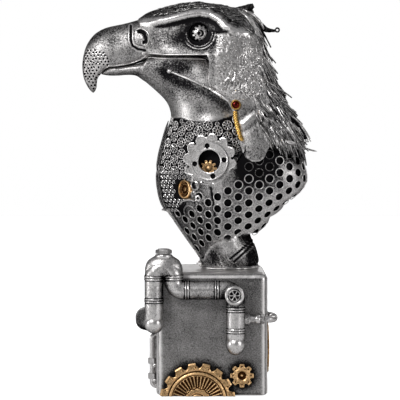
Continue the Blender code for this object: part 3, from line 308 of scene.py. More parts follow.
SAND_RELIEF = 0.3
SILVER_DARK = (0.010, 0.0095, 0.0105)
SILVER_BRIGHT = (0.80, 0.78, 0.77)
BRASS_DARK = (0.05, 0.018, 0.005)
BRASS_BRIGHT = (0.98, 0.64, 0.32)
plinth_silver = cast_metal("hammered_plinth_silver", SILVER_DARK, SILVER_BRIGHT, 0.40, wear=1.1, mottle=0.20,
                           scale=800.0, pits=0.12, edge=1.0)
silver = cast_metal("antique_silver", SILVER_DARK, SILVER_BRIGHT, 0.30)
brass = cast_metal("aged_brass", BRASS_DARK, BRASS_BRIGHT, 0.32, wear=1.1, mottle=0.4)
red_stone = cast_metal("dark_red_enamel", (0.02, 0.002, 0.002), (0.15, 0.018, 0.014), 0.20, mottle=0.3)
bright_brass = cast_metal("bright_brass", (0.30, 0.12, 0.02), (0.95, 0.58, 0.16), 0.26, mottle=0.2)


def dress(made, nodes=(), material=silver, tone=0.55, sharp=40, wear=(6, 0.00025)):
    """Finishes a piece: wear, tone, material, and its place in the frame."""
    mesh = made.data
    mesh.materials.clear()
    mesh.materials.append(material)
    mesh.shade_smooth()
    mesh.set_sharp_from_angle(angle=math.radians(sharp))
    if "wear" not in mesh.attributes:
        mark_wear(made, *wear)
    if "tone" not in mesh.attributes:
        store(mesh, "tone", np.full(len(mesh.vertices), tone))
    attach(made, "root")
    if nodes:
        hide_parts(*nodes)
    return made


shape = bmesh.new()
bmesh.ops.create_cube(shape, size=1)
size = plinth_high - plinth_low
to_box = Matrix.Translation((plinth_low + plinth_high) / 2) @ Matrix.Diagonal((*size, 1))
bmesh.ops.transform(shape, matrix=to_box, verts=shape.verts)
bmesh.ops.subdivide_edges(shape, edges=shape.edges, cuts=int(size.x / PLINTH_CELL), use_grid_fill=True)
plinth_mesh = bpy.data.meshes.new("plinth_casting")
shape.to_mesh(plinth_mesh)
shape.free()
place = read_points(plinth_mesh)
low, high = np.array(plinth_low), np.array(plinth_high)
core_low = low + PLINTH_EDGE
core_low[2] = low[2] + PLINTH_FOOT_EDGE
inner = np.clip(place, core_low, high - PLINTH_EDGE)
out = place - inner
reach = np.full_like(out, PLINTH_EDGE)
reach[out[:, 2] < 0, 2] = PLINTH_FOOT_EDGE
unit = out / reach
length = np.maximum(np.linalg.norm(unit, axis=1, keepdims=True), 1e-9)
place = inner + unit / length * reach * np.minimum(length, 1)
outward = unit / length
dent = HAMMER_DEPTH * (1 + lumps(place, 0.006, 3) + 0.6 * lumps(place, 0.0025, 9))
dent = dent * np.clip((place[:, 2] - 0.001) / 0.003, 0, 1)
place = place - outward * np.clip(dent, 0, None)[:, None]
write_points(plinth_mesh, place)
plinth_piece = new_object("plinth_casting", plinth_mesh)
# A band along each rounded edge is made lighter, and the tone is darker where each edge begins.
edge_share = np.sort(np.abs(out) / PLINTH_EDGE, axis=1)[:, 1]
bright_edge_band = bump(edge_share - 0.50, 0.26)
# Painted highlight on the top face, given through both its stored wear and its tone.
painted_top_light = np.clip((place[:, 2] - high[2] + 0.0012) / 0.001, 0, 1)
# Painted shadow on the front face round the edges of the large gear and the pinion.
GEAR_SHADOWS = ((-0.01165, -0.00315, 0.0290), (0.0240, 0.0170, 0.0086))
painted_gear_shadow = np.zeros(len(place))
for gear_x, gear_z, radius in GEAR_SHADOWS:
    past = np.maximum(np.hypot(place[:, 0] - gear_x, place[:, 2] - gear_z) - radius, 0)
    painted_gear_shadow = np.maximum(painted_gear_shadow, bump(past, 0.0040) * (place[:, 1] < -0.0440))
# The stored wear is the band along each edge and, on the top face, the painted highlight.
store(plinth_mesh, "wear", np.clip(0.46 + 0.54 * np.maximum(bright_edge_band, painted_top_light), 0, 1))
# Painted shade on the face beside the drop pipe, away from the edges.
painted_pipe_shade = bump(np.hypot((place[:, 0] - 0.034) / 0.020, (place[:, 2] - 0.088) / 0.016), 1.0)
store(plinth_mesh, "tone", 0.41 + 0.04 * lumps(place, 0.014, 21) - 0.12 * painted_pipe_shade * (1 - bright_edge_band)
      + 0.2 * np.maximum(painted_top_light * 2.6, bright_edge_band) - 0.25 * bump(edge_share - 0.12, 0.10) * (edge_share > 0.01)
      - 0.42 * painted_gear_shadow)
dress(plinth_piece, ("plinth",), plinth_silver)


# The bust: one hollow casting of an eagle's head on a feathered neck, with a hood over the nape, a
# pierced mantle below it and a lace-worked breast, chased after casting and blackened in its hollows.
UNIT = 0.001
FLIP = np.array([1, -1, 1])
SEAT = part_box("eagle_bust")[0].z
HEAD_ROWS = (
    (-51, 167, -60.5, 206.3, 14.5, 0.42, 2.4, 2.0),
    (-47, 163, -53, 211.4, 18.5, 0.42, 2.4, 2.0),
    (-42, 158, -42.5, 214.9, 23.0, 0.44, 2.4, 2.0),
    (-36, 153, -28, 218.4, 26.5, 0.46, 2.4, 2.0),
    (-30, 148, -12, 220.0, 29.0, 0.48, 2.3, 2.0),
    (-24, 143, 3, 218.3, 30.8, 0.50, 2.3, 2.0),
    (-18, 138, 18, 215.4, 31.8, 0.50, 2.3, 2.0),
    (-13, 133, 32, 211.4, 32.2, 0.50, 2.3, 2.0),
    (-9, 128, 39.5, 200, 32.6, 0.50, 2.3, 2.0),
    (-6, 123, 41.3, 186, 33.2, 0.50, 2.3, 2.0),
    (-3, 118, 46, 171.5, 34.0, 0.50, 2.3, 2.0),
    (0, 113, 51, 156, 35.0, 0.50, 2.3, 2.0),
    (3, 107, 57, 141.5, 36.2, 0.50, 2.4, 2.1),
    (6, 100, 64, 128, 37.5, 0.50, 2.4, 2.2),
    (9, 92, 69.5, 115, 38.8, 0.48, 2.5, 2.4),
    (12, 84, 73, 103, 39.6, 0.46, 2.5, 2.5),
    (14, 78, 74, 95, 39.0, 0.44, 2.5, 2.5),
)
HEAD_OUTLINE = (
    (-75, 178), (-56, 175), (-50.5, 176.2), (-42, 175), (-4, 174.6), (-2.4, 170), (-2.4, 148.5),
    (5, 142), (12.9, 136.3), (16.5, 129.5), (19.2, 117), (22.6, 103.6), (24.6, 96), (27.5, 91.5),
    (32.3, 88.3), (38, 88.6), (41.5, 91), (44.4, 97.5), (46.6, 101.4), (48.8, 102.6), (51.7, 100.8),
    (55, 99.4), (59, 100.6), (63, 99.8), (70, 100.2), (74, 99), (90, 96), (110, 120), (110, 240), (-75, 240),
)
THROAT_ROWS = (
    (-60, 158.5, -52, 174, 13.4, 0.60, 2.2, 3.4),
    (-51.5, 151.4, -36, 177, 18.8, 0.60, 2.0, 3.2),
    (-44.6, 145.3, -14, 176, 23.0, 0.60, 1.9, 3.0),
    (-39.6, 140.3, 8, 168, 26.0, 0.56, 1.9, 2.8),
    (-36.3, 135.6, 22, 154, 28.0, 0.52, 1.9, 2.5),
    (-34.6, 131, 31, 141, 29.0, 0.50, 1.9, 2.3),
    (-33.8, 126.3, 36, 130, 29.5, 0.50, 1.9, 2.2),
    (-34.4, 121, 40, 120, 31.0, 0.50, 1.8, 2.2),
    (-37, 112.5, 46, 110, 32.5, 0.50, 1.7, 2.2),
    (-40.4, 104, 50, 100, 33.8, 0.50, 1.6, 2.3),
    (-42.6, 93.9, 54, 90, 35.0, 0.50, 1.45, 2.4),
    (-44, 81.4, 58, 80, 36.0, 0.50, 1.35, 2.5),
    (-43, 67, 58, 68, 36.3, 0.48, 1.25, 2.6),
    (-40.2, 54, 52, 56, 35.3, 0.46, 1.2, 2.6),
    (-33, 43.9, 46, 46, 32.0, 0.45, 1.2, 2.5),
    (-26.2, 33.1, 41, 37, 28.5, 0.45, 1.25, 2.4),
    (-18, 22.5, 32.0, 30, 25.0, 0.48, 1.4, 2.3),
    (-12.5, 14.0, 36.8, 15.5, 23.0, 0.50, 1.7, 2.2),
    (-9.8, 6.0, 39.2, 6.4, 22.5, 0.50, 2.0, 2.2),
    (-8.8, 2.2, 37.6, 2.0, 21.5, 0.50, 2.2, 2.2),
)
MANTLE_ROWS = (
    (-36, 103, 73.5, 101, 38.6, 0.42, 1.5, 3.2),
    (-40.5, 93.9, 75.5, 92, 39.2, 0.42, 1.45, 3.4),
    (-44, 81.4, 77.6, 82, 39.4, 0.42, 1.38, 3.6),
    (-43.4, 67, 78.2, 72, 39.2, 0.42, 1.3, 3.6),
    (-40.4, 54, 72, 62, 38.2, 0.42, 1.25, 3.4),
    (-33.2, 43.9, 61.0, 52, 36.0, 0.42, 1.25, 3.2),
    (-26.4, 33.1, 51.0, 42, 32.8, 0.42, 1.25, 3.0),
    (-18.2, 21.5, 43.0, 32, 28.5, 0.40, 1.3, 2.8),
    (-12.5, 13.5, 36, 22, 24.5, 0.38, 1.3, 2.6),
    (-8.6, 7.2, 30, 14, 21.5, 0.38, 1.3, 2.5),
)
MANTLE_OUTLINE = (
    (-60, 79), (-60, 40), (-30, 20), (-10, 3.6), (-7.4, 5.5), (-5.4, 12.5), (-1.6, 19.4), (3, 23), (8, 25.2),
    (14, 25.6), (19.3, 28.5), (24, 31.6), (30, 29.4), (37.6, 29.8), (42, 33.4), (46.4, 38), (47.6, 43),
    (52.7, 45.4), (57.4, 48.6), (59.6, 54.6), (64.6, 58.6), (71, 61), (76, 64.6), (78, 70.5), (79.5, 74),
    (78.2, 80), (76.4, 86), (75.2, 91), (72.4, 96.2), (70, 110), (27, 110), (26, 97), (22.5, 90), (18, 84),
    (2, 76), (-14, 76), (-30, 79),
)
BEAK_ROWS = (
    (-50, 208.2, -44, 172.5, 14.6, 0.62, 2.0, 2.6),
    (-59.5, 205.8, -52, 172.2, 14.0, 0.62, 2.0, 2.6),
    (-66.5, 203.8, -59, 170.4, 13.4, 0.62, 2.0, 2.7),
    (-73.5, 202, -65, 168.6, 12.7, 0.63, 2.0, 2.7),
    (-80.1, 200.7, -71, 167.2, 12.0, 0.64, 2.0, 2.8),
    (-86.8, 199.1, -77, 166.2, 11.2, 0.65, 2.0, 2.8),
    (-92.6, 196.6, -82, 165.8, 10.4, 0.66, 2.0, 2.8),
    (-97.6, 193, -86, 165, 9.6, 0.66, 2.0, 2.8),
    (-101.7, 187.9, -89, 163, 8.8, 0.66, 2.0, 2.7),
    (-104.5, 182.6, -91.2, 161.4, 8.0, 0.66, 2.0, 2.6),
    (-106.3, 176.2, -93, 159.6, 7.1, 0.65, 2.0, 2.5),
    (-107.3, 169, -94.2, 157.9, 6.1, 0.62, 2.0, 2.4),
    (-107.0, 162, -95, 155.5, 5.0, 0.60, 2.0, 2.2),
    (-105.9, 156.6, -95.3, 152.6, 3.9, 0.55, 2.0, 2.1),
    (-103.8, 151.7, -95.6, 149.6, 2.9, 0.52, 2.0, 2.0),
    (-101.2, 147.7, -96.7, 146.8, 1.8, 0.50, 2.0, 2.0),
    (-99.0, 145.5, -98.0, 145.3, 0.5, 0.50, 2.0, 2.0),
)
MANDIBLE_ROWS = (
    (-91.2, 160.5, -91.2, 161.8, 1.6, 0.50, 2.0, 2.0),
    (-88.5, 159.9, -88.5, 163.4, 4.6, 0.50, 2.0, 2.4),
    (-84, 159.4, -84, 166, 6.6, 0.50, 2.0, 2.6),
    (-77, 159.5, -77, 166.6, 8.4, 0.50, 2.0, 2.6),
    (-70, 160, -69, 167.8, 9.8, 0.50, 2.0, 2.6),
    (-62.8, 159.3, -60, 169.6, 11.2, 0.50, 2.0, 2.6),
    (-56.5, 155.2, -50, 173, 13.6, 0.50, 2.0, 2.6),
    (-50, 151.4, -42, 174, 16.4, 0.50, 2.0, 2.6),
)
BROW = ((-58.3, 202.4), (-48.6, 201.6), (-38, 202.4), (-25.9, 205.2), (-17.8, 207.2), (-9.7, 208.2),
        (-1.6, 206.9), (4.9, 203.0), (10.5, 196.8), (18.7, 192.9), (28.4, 192.3))
EYE_SIDE_VIEW = (-10.5, 192.5)
SHELF = ((16.5, 129.5), (12.9, 136.3), (5, 142), (-2.4, 148.5), (-2.4, 170))
CERE = ((-66.6, 199.7), (-66.5, 193.6), (-66.3, 187.1), (-64.7, 183.0), (-60.6, 180.5), (-55.7, 179.5),
        (-51.0, 178.7))
CERE_REAR = ((-60.5, 206.5), (-56.9, 199.3), (-53.6, 194.4), (-49.3, 188.5))
CREASE = ((25.3, 118.1), (32.5, 124.2), (40.5, 129.8))
NOSTRIL = ((-59.3, 195.2), (-57.2, 194.8), (-55.2, 192.7), (-54.0, 189.4), (-54.4, 186.8), (-55.6, 186.0))
HEAD_STATIONS = 250
HEAD_HALF_SIDES = 150


def smooth_rows(rows, count):
    """Station rows, resampled evenly along a Catmull-Rom curve through them."""
    rows = np.array(rows, float)
    knots = np.concatenate([2 * rows[:1] - rows[1:2], rows, 2 * rows[-1:] - rows[-2:-1]])
    place = np.linspace(0, len(rows) - 1, count)
    first = np.minimum(place.astype(int), len(rows) - 2)
    t = (place - first)[:, None]
    a, b, c, d = knots[first], knots[first + 1], knots[first + 2], knots[first + 3]
    bend = (2 * a - 5 * b + 4 * c - d) * t ** 2
    twist = (3 * b - a - 3 * c + d) * t ** 3
    return 0.5 * (2 * b + (c - a) * t + bend + twist)


def half_form(rows, stations, half_sides):
    """Rings of points on the left half of a lofted form, evenly spaced from its front to its back.

    A row is front x, front z, back x, back z, half width, share of the span where it is widest, and
    the fullness of its front and of its back: 1 is a straight bevel, 2 an ellipse and 4 nearly square.
    """
    angle = np.linspace(0, math.pi, 4 * half_sides + 1)
    cosine = np.cos(angle)
    sine = np.clip(np.sin(angle), 0, 1)
    rings = []
    for fx, fz, bx, bz, width, widest, front, back in smooth_rows(rows, stations):
        power = 2 / np.where(cosine > 0, front, back)
        span = widest - np.where(cosine > 0, widest, 1 - widest) * np.sign(cosine) * np.abs(cosine) ** power
        ring = np.stack([fx + (bx - fx) * span, -width * sine ** power, fz + (bz - fz) * span], axis=1)
        run = np.concatenate([[0], np.cumsum(np.linalg.norm(np.diff(ring, axis=0), axis=1))])
        even = np.linspace(0, run[-1], half_sides + 1)
        rings.append(np.stack([np.interp(even, run, ring[:, axis]) for axis in range(3)], axis=1))
    return np.array(rings)


def outward_of(form):
    """The outward direction at each point of a half form."""
    normal = np.cross(np.gradient(form, axis=0), np.gradient(form, axis=1))
    normal[:, [0, -1], 1] = 0
    normal = normal / np.maximum(np.linalg.norm(normal, axis=2, keepdims=True), 1e-9)
    middle = normal.shape[1] // 2
    return normal if normal[:, middle, 1].mean() < 0 else -normal


def runs(form):
    """How far each point lies along the stations and round its ring, in carving units."""
    along = np.concatenate([np.zeros((1, form.shape[1])),
                            np.cumsum(np.linalg.norm(np.diff(form, axis=0), axis=2), axis=0)])
    around = np.concatenate([np.zeros((form.shape[0], 1)),
                             np.cumsum(np.linalg.norm(np.diff(form, axis=1), axis=2), axis=1)], axis=1)
    return along, around


def from_path(x, z, path):
    """Distance from a path in side view, positive above or behind it, and the share along the path."""
    best = np.full(x.shape, 1e9)
    share = np.zeros(x.shape)
    sign = np.ones(x.shape)
    for i, ((ax, az), (bx, bz)) in enumerate(zip(path, path[1:])):
        length = (bx - ax) ** 2 + (bz - az) ** 2
        t = np.clip(((x - ax) * (bx - ax) + (z - az) * (bz - az)) / length, 0, 1)
        distance = np.hypot(x - ax - t * (bx - ax), z - az - t * (bz - az))
        nearer = distance < best
        share = np.where(nearer, (i + t) / (len(path) - 1), share)
        sign = np.where(nearer, np.sign((bx - ax) * (z - az) - (bz - az) * (x - ax)), sign)
        best = np.minimum(best, distance)
    return best, share, sign


def far_from(x, z, path):
    """Distance from a path in side view."""
    return from_path(x, z, path)[0]


def inside(x, z, outline):
    """Whether points in side view lie inside an outline."""
    x, z = np.asarray(x, float), np.asarray(z, float)
    found = np.zeros(x.shape, bool)
    for (ax, az), (bx, bz) in zip(outline, outline[1:] + outline[:1]):
        crosses = (az > z) != (bz > z)
        found ^= crosses & (x < (bx - ax) * (z - az) / (bz - az + 1e-12) + ax)
    return found


def closed(name, points, faces):
    """An object of closed shapes whose faces all look out."""
    mesh = bpy.data.meshes.new(name)
    mesh.from_pydata(points, [], faces)
    whole = bmesh.new()
    whole.from_mesh(mesh)
    bmesh.ops.recalc_face_normals(whole, faces=whole.faces)
    whole.to_mesh(mesh)
    whole.free()
    return new_object(name, mesh)


def ring_faces(rings, sides, closed_loop=False):
    """Faces that join rings of points into a tube with two ends, or into a closed loop of rings."""
    index = np.arange(rings * sides).reshape(rings, sides)
    low, high = (index, np.roll(index, -1, axis=0)) if closed_loop else (index[:-1], index[1:])
    quads = np.stack([low, np.roll(low, -1, axis=1), np.roll(high, -1, axis=1), high], axis=2)
    ends = [] if closed_loop else [index[0].tolist(), index[-1].tolist()]
    return quads.reshape(-1, 4).tolist() + ends


def casting(name, form):
    """The closed mesh of a half form and its mirror image, standing on the plinth."""
    form = form.copy()
    form[:, [0, -1], 1] = 0
    rings = np.concatenate([form, form[:, -2:0:-1] * FLIP], axis=1)
    place = rings.reshape(-1, 3) * UNIT + np.array([0, 0, SEAT])
    return closed(name, place.tolist(), ring_faces(*rings.shape[:2]))


def prism(outline, reach=70):
    """A solid right through the bust whose side view is the outline."""
    shape = bmesh.new()
    ends = []
    for y in (-reach, reach):
        ends.append([shape.verts.new((x * UNIT, y * UNIT, z * UNIT + SEAT)) for x, z in outline])
    for i in range(len(outline)):
        j = (i + 1) % len(outline)
        shape.faces.new((ends[0][i], ends[0][j], ends[1][j], ends[1][i]))
    for end in ends:
        shape.faces.new(end)
    bmesh.ops.triangulate(shape, faces=[face for face in shape.faces if len(face.verts) > 4])
    bmesh.ops.recalc_face_normals(shape, faces=shape.faces)
    mesh = bpy.data.meshes.new("prism")
    shape.to_mesh(mesh)
    shape.free()
    return new_object("prism", mesh)


def applied(made):
    """Puts the object's finished mesh in place of its modifiers."""
    graph = bpy.context.evaluated_depsgraph_get()
    mesh = bpy.data.meshes.new_from_object(made.evaluated_get(graph))
    made.modifiers.clear()
    old = made.data
    made.data = mesh
    if old.users == 0:
        bpy.data.meshes.remove(old)
    return made


def cut(made, tool, operation):
    """Joins the tool to a piece, or cuts the piece by it, and removes the tool."""
    modifier = made.modifiers.new("cut", "BOOLEAN")
    modifier.operation = operation
    modifier.solver = "MANIFOLD"
    modifier.object = tool
    applied(made)
    bpy.data.objects.remove(tool, do_unlink=True)
    return made


def side_view(place):
    """Each point's x and z in carving units."""
    return place[:, 0] / UNIT, (place[:, 2] - SEAT) / UNIT


# Head and hood. The crown carries short strokes, the cheek close down, the nape long strands, and the
# hood's lower part is plain sheet with one crease.
form = half_form(HEAD_ROWS, HEAD_STATIONS, HEAD_HALF_SIDES)
along, around = runs(form)
x, y, z = np.moveaxis(form, 2, 0)
brow_far, brow_share, brow_side = from_path(x, z, BROW)
brow_size = 3.6 * np.clip(np.sin(brow_share * math.pi) * 2.2, 0.45, 1)
brow = brow_size * np.where(brow_side > 0, bump(brow_far, 4.6), bump(brow_far, 2.3))
eye_far = np.hypot(x - EYE_SIDE_VIEW[0], z - EYE_SIDE_VIEW[1])
under_brow = np.where(brow_side > 0, 0.0, 1.0)
hollow = 4.6 * bump(np.hypot((x + 12) / 1.25, z - 191), 13.5) * np.clip(under_brow + bump(brow_far, 1.5), 0, 1)
lore = 2.4 * spot(x, z, -38, 190, 20, 8.5)
lids = 0.8 * (bump(eye_far - 10.8, 0.55) + 0.9 * bump(eye_far - 13.0, 0.55)) * step(195.5 - z, 0, 3)
lids = lids * step(x, -24, -20)
cheek = step(x, -3, 9) * step(194 - z, 0, 4) * step(brow_far, 1.0, 3.0)
panel = 1.2 * step(x, -1, 6) * step(194 - z, 0, 3)
fur_floor = 141 - 0.35 * (x - 22)
down = cheek * step(z - fur_floor, -3, 4)
crown = step(brow_side * brow_far, 0.5, 4) * step(x, -52, -30)
nape_line = 37 + np.clip(188 - z, 0, 80) * 0.165
nape = step(x - nape_line, -5, 2) * step(200 - z, -6, 6)
lower_fur = step(x - (33 + 0.25 * np.clip(135 - z, 0, 40)), -3, 5) * step(141 - z, -4, 4) * step(z, 99, 112)
nape = np.clip(np.maximum(nape, lower_fur), 0, 1)
drift = grain(along / 23, around / 14, 5) * 5
strokes = (grain(along / 5.0, (around + drift) / 1.25, 11)
           + 0.5 * grain(along / 2.6, (around + drift) / 0.8, 12))
down_grain = (grain(along / 2.4 + 0.3 * drift, (around - drift) / 1.15, 17)
              + 0.6 * grain(along / 1.3, around / 0.9, 18))
strand = grain(along / 26, (around + 0.8 * drift) / 3.4, 23)
strand = 1 - 2 * np.abs(strand) ** 0.7 + 0.5 * grain(along / 14, (around + drift) / 1.3, 24)
curls = grain((along + 4 * grain(along / 5, around / 5, 31)) / 3.2,
              (around + 4 * grain(along / 5, around / 5, 32)) / 1.4, 33)
curl_zone = down * step(x, 12, 26) * step(176 - z, -6, 8)
push = brow - hollow - lore + lids + panel
push = push + 0.20 * crown * strokes + 0.20 * down * down_grain + 0.55 * curl_zone * curls
push = push + 0.85 * nape * (1 - 0.3 * down) * strand
push = push + 0.10 * lumps(form.reshape(-1, 3), 1.6, 71).reshape(x.shape) * (lore / 2.4)
crease_far = far_from(x, z, CREASE)
push = push + 0.5 * bump(crease_far, 3.0) - 0.3 * bump(crease_far - 5.0, 2.5)
push = push - 1.5 * bump(far_from(x, z, NOSTRIL), 1.3)
off_middle = step(np.abs(y), 0.0, 6.0)
push = push * off_middle + (0.20 * crown * strokes + 0.9 * nape * strand) * (1 - off_middle)
form = form + outward_of(form) * push[..., None]
head_form = form
kept_head = inside(x, z, HEAD_OUTLINE)
nape_chance = kept_head * np.clip(nape, 0, 1)
cheek_chance = kept_head * down * (1 - nape)
curl_chance = kept_head * curl_zone * (1 - nape)
crown_chance = kept_head * crown * (1 - nape)
head = cut(casting("head_and_hood", form), prism(HEAD_OUTLINE), "INTERSECT")

place = read_points(head.data)
x, z = side_view(place)
brow_far, _, brow_side = from_path(x, z, BROW)
above = brow_side * brow_far
nape_line = 36 + np.clip(188 - z, 0, 80) * 0.165
# Tone by region over the head: partly the casting's own lighter and darker finish, partly painted light and
# shade, as marked below.
tone = np.full(len(x), 0.46)
tone = tone - 0.34 * step(above, 2.5, 5) * step(30 - x, 0, 6)
# Painted highlight along the brow ridge.
tone = tone + 0.50 * bump(above - 0.8, 2.6) * step(x, -58, -50) * step(34 - x, 0, 8)
# Painted shadow under the brow.
tone = tone - 0.45 * bump(above + 3.6, 1.8) * step(x, -50, -40) * step(6 - x, 0, 8)
tone = tone + 0.35 * bump(np.hypot(x + 52, z - 200), 5)
# Painted shadow in the eye's hollow and over the lore, below the brow.
tone = tone - 0.75 * bump(np.hypot((x + 11) / 1.1, z - 192), 14) * step(-above, 0.5, 2.5)
tone = tone - 0.30 * spot(x, z, -36, 188, 20, 9) * step(-above, 0, 2)
tone = tone - 0.20 * spot(x, z, 2, 180, 6, 9)
cheek = step(x, 1, 9) * step(193 - z, 0, 3) * step(z - (139 - 0.3 * (x - 22)), -3, 4)
tone = tone + 0.36 * cheek * step(46 - x, 0, 6)
# Painted shadow in a narrow band low on the cheek's feathers.
tone = tone - 0.55 * spot(x, z, 15, 151, 9, 2.6)
tone = tone - 0.30 * step(x - nape_line, 0, 4)
plain = step(139 - 0.3 * (x - 22) - z, 0, 4) * step(44 - x, 0, 4)
tone = tone - 0.12 * plain + 0.14 * plain * spot(x, z, 27, 110, 6, 13)
# Painted highlight along the hood's crease.
tone = tone + 0.42 * bump(far_from(x, z, CREASE), 2.2)
tone = tone + 0.16 * bump(far_from(x, z, SHELF), 1.6)
tone = tone - 1.2 * bump(far_from(x, z, NOSTRIL), 1.5)
store(head.data, "tone", np.clip(tone, -0.3, 1.0))
dress(head, ("eagle_bust",), sharp=60)

# Throat, jaw and breast in the same casting, down to the foot with its two crossing straps. The breast
# steps in below a rough edge, and the metal behind the mantle and the fittings lies low.
THROAT_STATIONS = 200
THROAT_HALF_SIDES = 110
LACE_EDGE = ((-33.9, 124.0), (-26, 124.1), (-20.3, 122.1), (-13.8, 120.8), (-7.3, 120.4), (-1.5, 120.4),
             (3.4, 121.3), (9.0, 123.0), (24.0, 128.0))
STRAPS = (((14.8, 8.9), (32.8, 23.7)), ((18.1, 6.5), (35.3, 22.0)))
ROD_PATH = ((-34.7, 161.8), (-18, 154.8), (-2.4, 147.7), (5, 142.7), (13.2, 137.4))
# Tone spots on the throat: lighter and darker patches, darker over the jaw, and a painted highlight on the jaw
# at (-12.5, 163).
THROAT_SPOTS = ((-23, 128, 8, 8, 0.28), (3, 124, 9, 6, 0.34), (-11, 130, 5, 12, -0.20),
                (-30, 166, 22, 9, -0.30),
                (-12.5, 163, 4.5, 4.5, 0.62), (-22, 167, 20, 5, -0.22), (-22, 150, 9, 7, -0.12),
                (-34, 148, 7, 12, -0.10))


def spotted(tone, x, z, spots):
    """A tone with soft spots in side view: middle x and z, half width and height, and the change."""
    for middle_x, middle_z, wide, tall, change in spots:
        tone = tone + change * spot(x, z, middle_x, middle_z, wide, tall)
    return tone


def under_mantle(x, z):
    """Whether places in side view are hidden by the mantle."""
    return inside(x, z, MANTLE_OUTLINE) & (z > 8) & ((x > -12) | (z < 50))


form = half_form(THROAT_ROWS, THROAT_STATIONS, THROAT_HALF_SIDES)
x, y, z = np.moveaxis(form, 2, 0)
lace_far, _, lace_side = from_path(x, z, LACE_EDGE)
push = -0.35 * bump(lace_far, 0.5) - 0.5 * step(-lace_side * lace_far, 0.0, 0.8) * step(z, 70, 74)
push = push - 1.4 * spot(x, z, -14, 163, 16, 8)
for strap in STRAPS:
    strap_far = far_from(x, z, strap)
    push = push - 0.7 * bump(strap_far, 0.5) + 0.35 * bump(strap_far - 1.2, 0.6)
push = push + 1.3 * spot(x, z, 16, 15, 24, 9)
push = push * step(np.abs(y), 0.0, 4.0) - 2.4 * under_mantle(x, z)
throat = casting("throat_and_breast", form + outward_of(form) * push[..., None])
x, z = side_view(read_points(throat.data))
lace_far, _, lace_side = from_path(x, z, LACE_EDGE)
rod_far, _, rod_side = from_path(x, z, ROD_PATH)
# The band just below the cheek rod is painted shade, where the hood's edge turns in over the throat.
tone = spotted(np.full(len(x), 0.38), x, z, THROAT_SPOTS) - 0.34 * bump(rod_side * rod_far + 4.5, 4.0)
tone = np.where((-lace_side * lace_far > 0.2) & (z > 60), -0.35, tone)
# Painted shade on the metal behind the mantle.
tone = np.where(under_mantle(x, z), -0.3, tone)
on_foot = step(30 - z, 0, 3)
brushed = 0.5 + 0.5 * grain((x + 0.6 * z) / 1.2, (z - 0.6 * x) / 9.0, 61)
tone = tone + on_foot * (0.50 * spot(x, z, 15, 19, 8, 8) - 0.18 + 0.22 * (brushed - 0.5))
tone = tone - on_foot * (0.35 * step(x, 26, 31) + 0.35 * spot(x, z, 2, 8, 6, 5))
for strap in STRAPS:
    tone = tone - 0.7 * bump(far_from(x, z, strap), 0.9)
store(throat.data, "tone", np.clip(tone, -0.4, 1.0))
dress(throat, sharp=60)

# Upper and lower beak, cast with the head: a cere with a sunk line round it, a rubbed ridge, and drilled
# dots over the front of the bill. The mandible lies under it, darker, as a plain bevelled bar.
DOT_AREA = ((-105.8, 183), (-95, 180.5), (-88.9, 177.5), (-84.2, 171.5), (-86, 167.5), (-91.6, 168.1),
            (-93.4, 158), (-94.6, 149), (-99.5, 146.6), (-106.5, 159.0), (-107.2, 172))
DOT_PITCH = 2.75
DOT_RADIUS = 0.72
BEAK_STATIONS = 240
BEAK_HALF_SIDES = 96
# Tone spots on the beak: darker patches by the cere and along the mouth, a lighter patch near the tip, and
# painted shade over the middle of the bill where the key light's highlight falls.
BEAK_SPOTS = ((-66, 178, 5, 8, -0.20), (-83, 170, 6, 5, -0.15), (-98, 180, 6, 9, 0.22),
              (-83, 188.5, 17, 8, -0.36),
              (-72, 172, 8, 3, -0.12), (-60.9, 190, 5, 5, 0.02))
dots = []
scatter = np.random.default_rng(51)
for row in range(18):
    for column in range(14):
        dot = (-110 + (column + 0.5 * (row % 2)) * DOT_PITCH * 1.08 + scatter.normal(0, 0.28),
               144 + row * DOT_PITCH * 0.88 + scatter.normal(0, 0.28))
        if inside(*dot, DOT_AREA):
            dots.append(dot)


def far_from_dots(x, z):
    return np.min([np.hypot(x - dot_x, z - dot_z) for dot_x, dot_z in dots], axis=0)


form = half_form(BEAK_ROWS, BEAK_STATIONS, BEAK_HALF_SIDES)
x, y, z = np.moveaxis(form, 2, 0)
cere_far = far_from(x, z, CERE)
push = -0.9 * bump(cere_far, 0.7) + 0.35 * bump(cere_far - 1.6, 0.9)
push = push - 0.6 * bump(far_from(x, z, CERE_REAR), 0.6) - 1.5 * bump(far_from(x, z, NOSTRIL), 1.3)
drilled = (1 - step(far_from_dots(x, z), DOT_RADIUS * 0.6, DOT_RADIUS * 1.3)) * step(np.abs(y), 0.3, 1)
push = push * step(np.abs(y), 0.0, 3.0) - 0.55 * drilled
beak = casting("upper_beak", form + outward_of(form) * push[..., None])
x, z = side_view(read_points(beak.data))
tone = 0.56 - 0.34 * bump(far_from(x, z, tuple(row[:2] for row in BEAK_ROWS)), 7.0)
tone = spotted(tone, x, z, BEAK_SPOTS) + 0.22 * inside(x, z, DOT_AREA)
tone = tone - 1.3 * (1 - step(far_from_dots(x, z), DOT_RADIUS * 0.7, DOT_RADIUS * 1.4))
tone = tone - 0.9 * bump(far_from(x, z, CERE), 0.8) - 1.2 * bump(far_from(x, z, NOSTRIL), 1.5)
store(beak.data, "tone", np.clip(tone - 0.10 * step(x, -64, -60), -0.4, 1.0))
dress(beak, sharp=60)
mandible = casting("lower_beak", half_form(MANDIBLE_ROWS, 60, 40))
dress(mandible, tone=0.22, sharp=60)


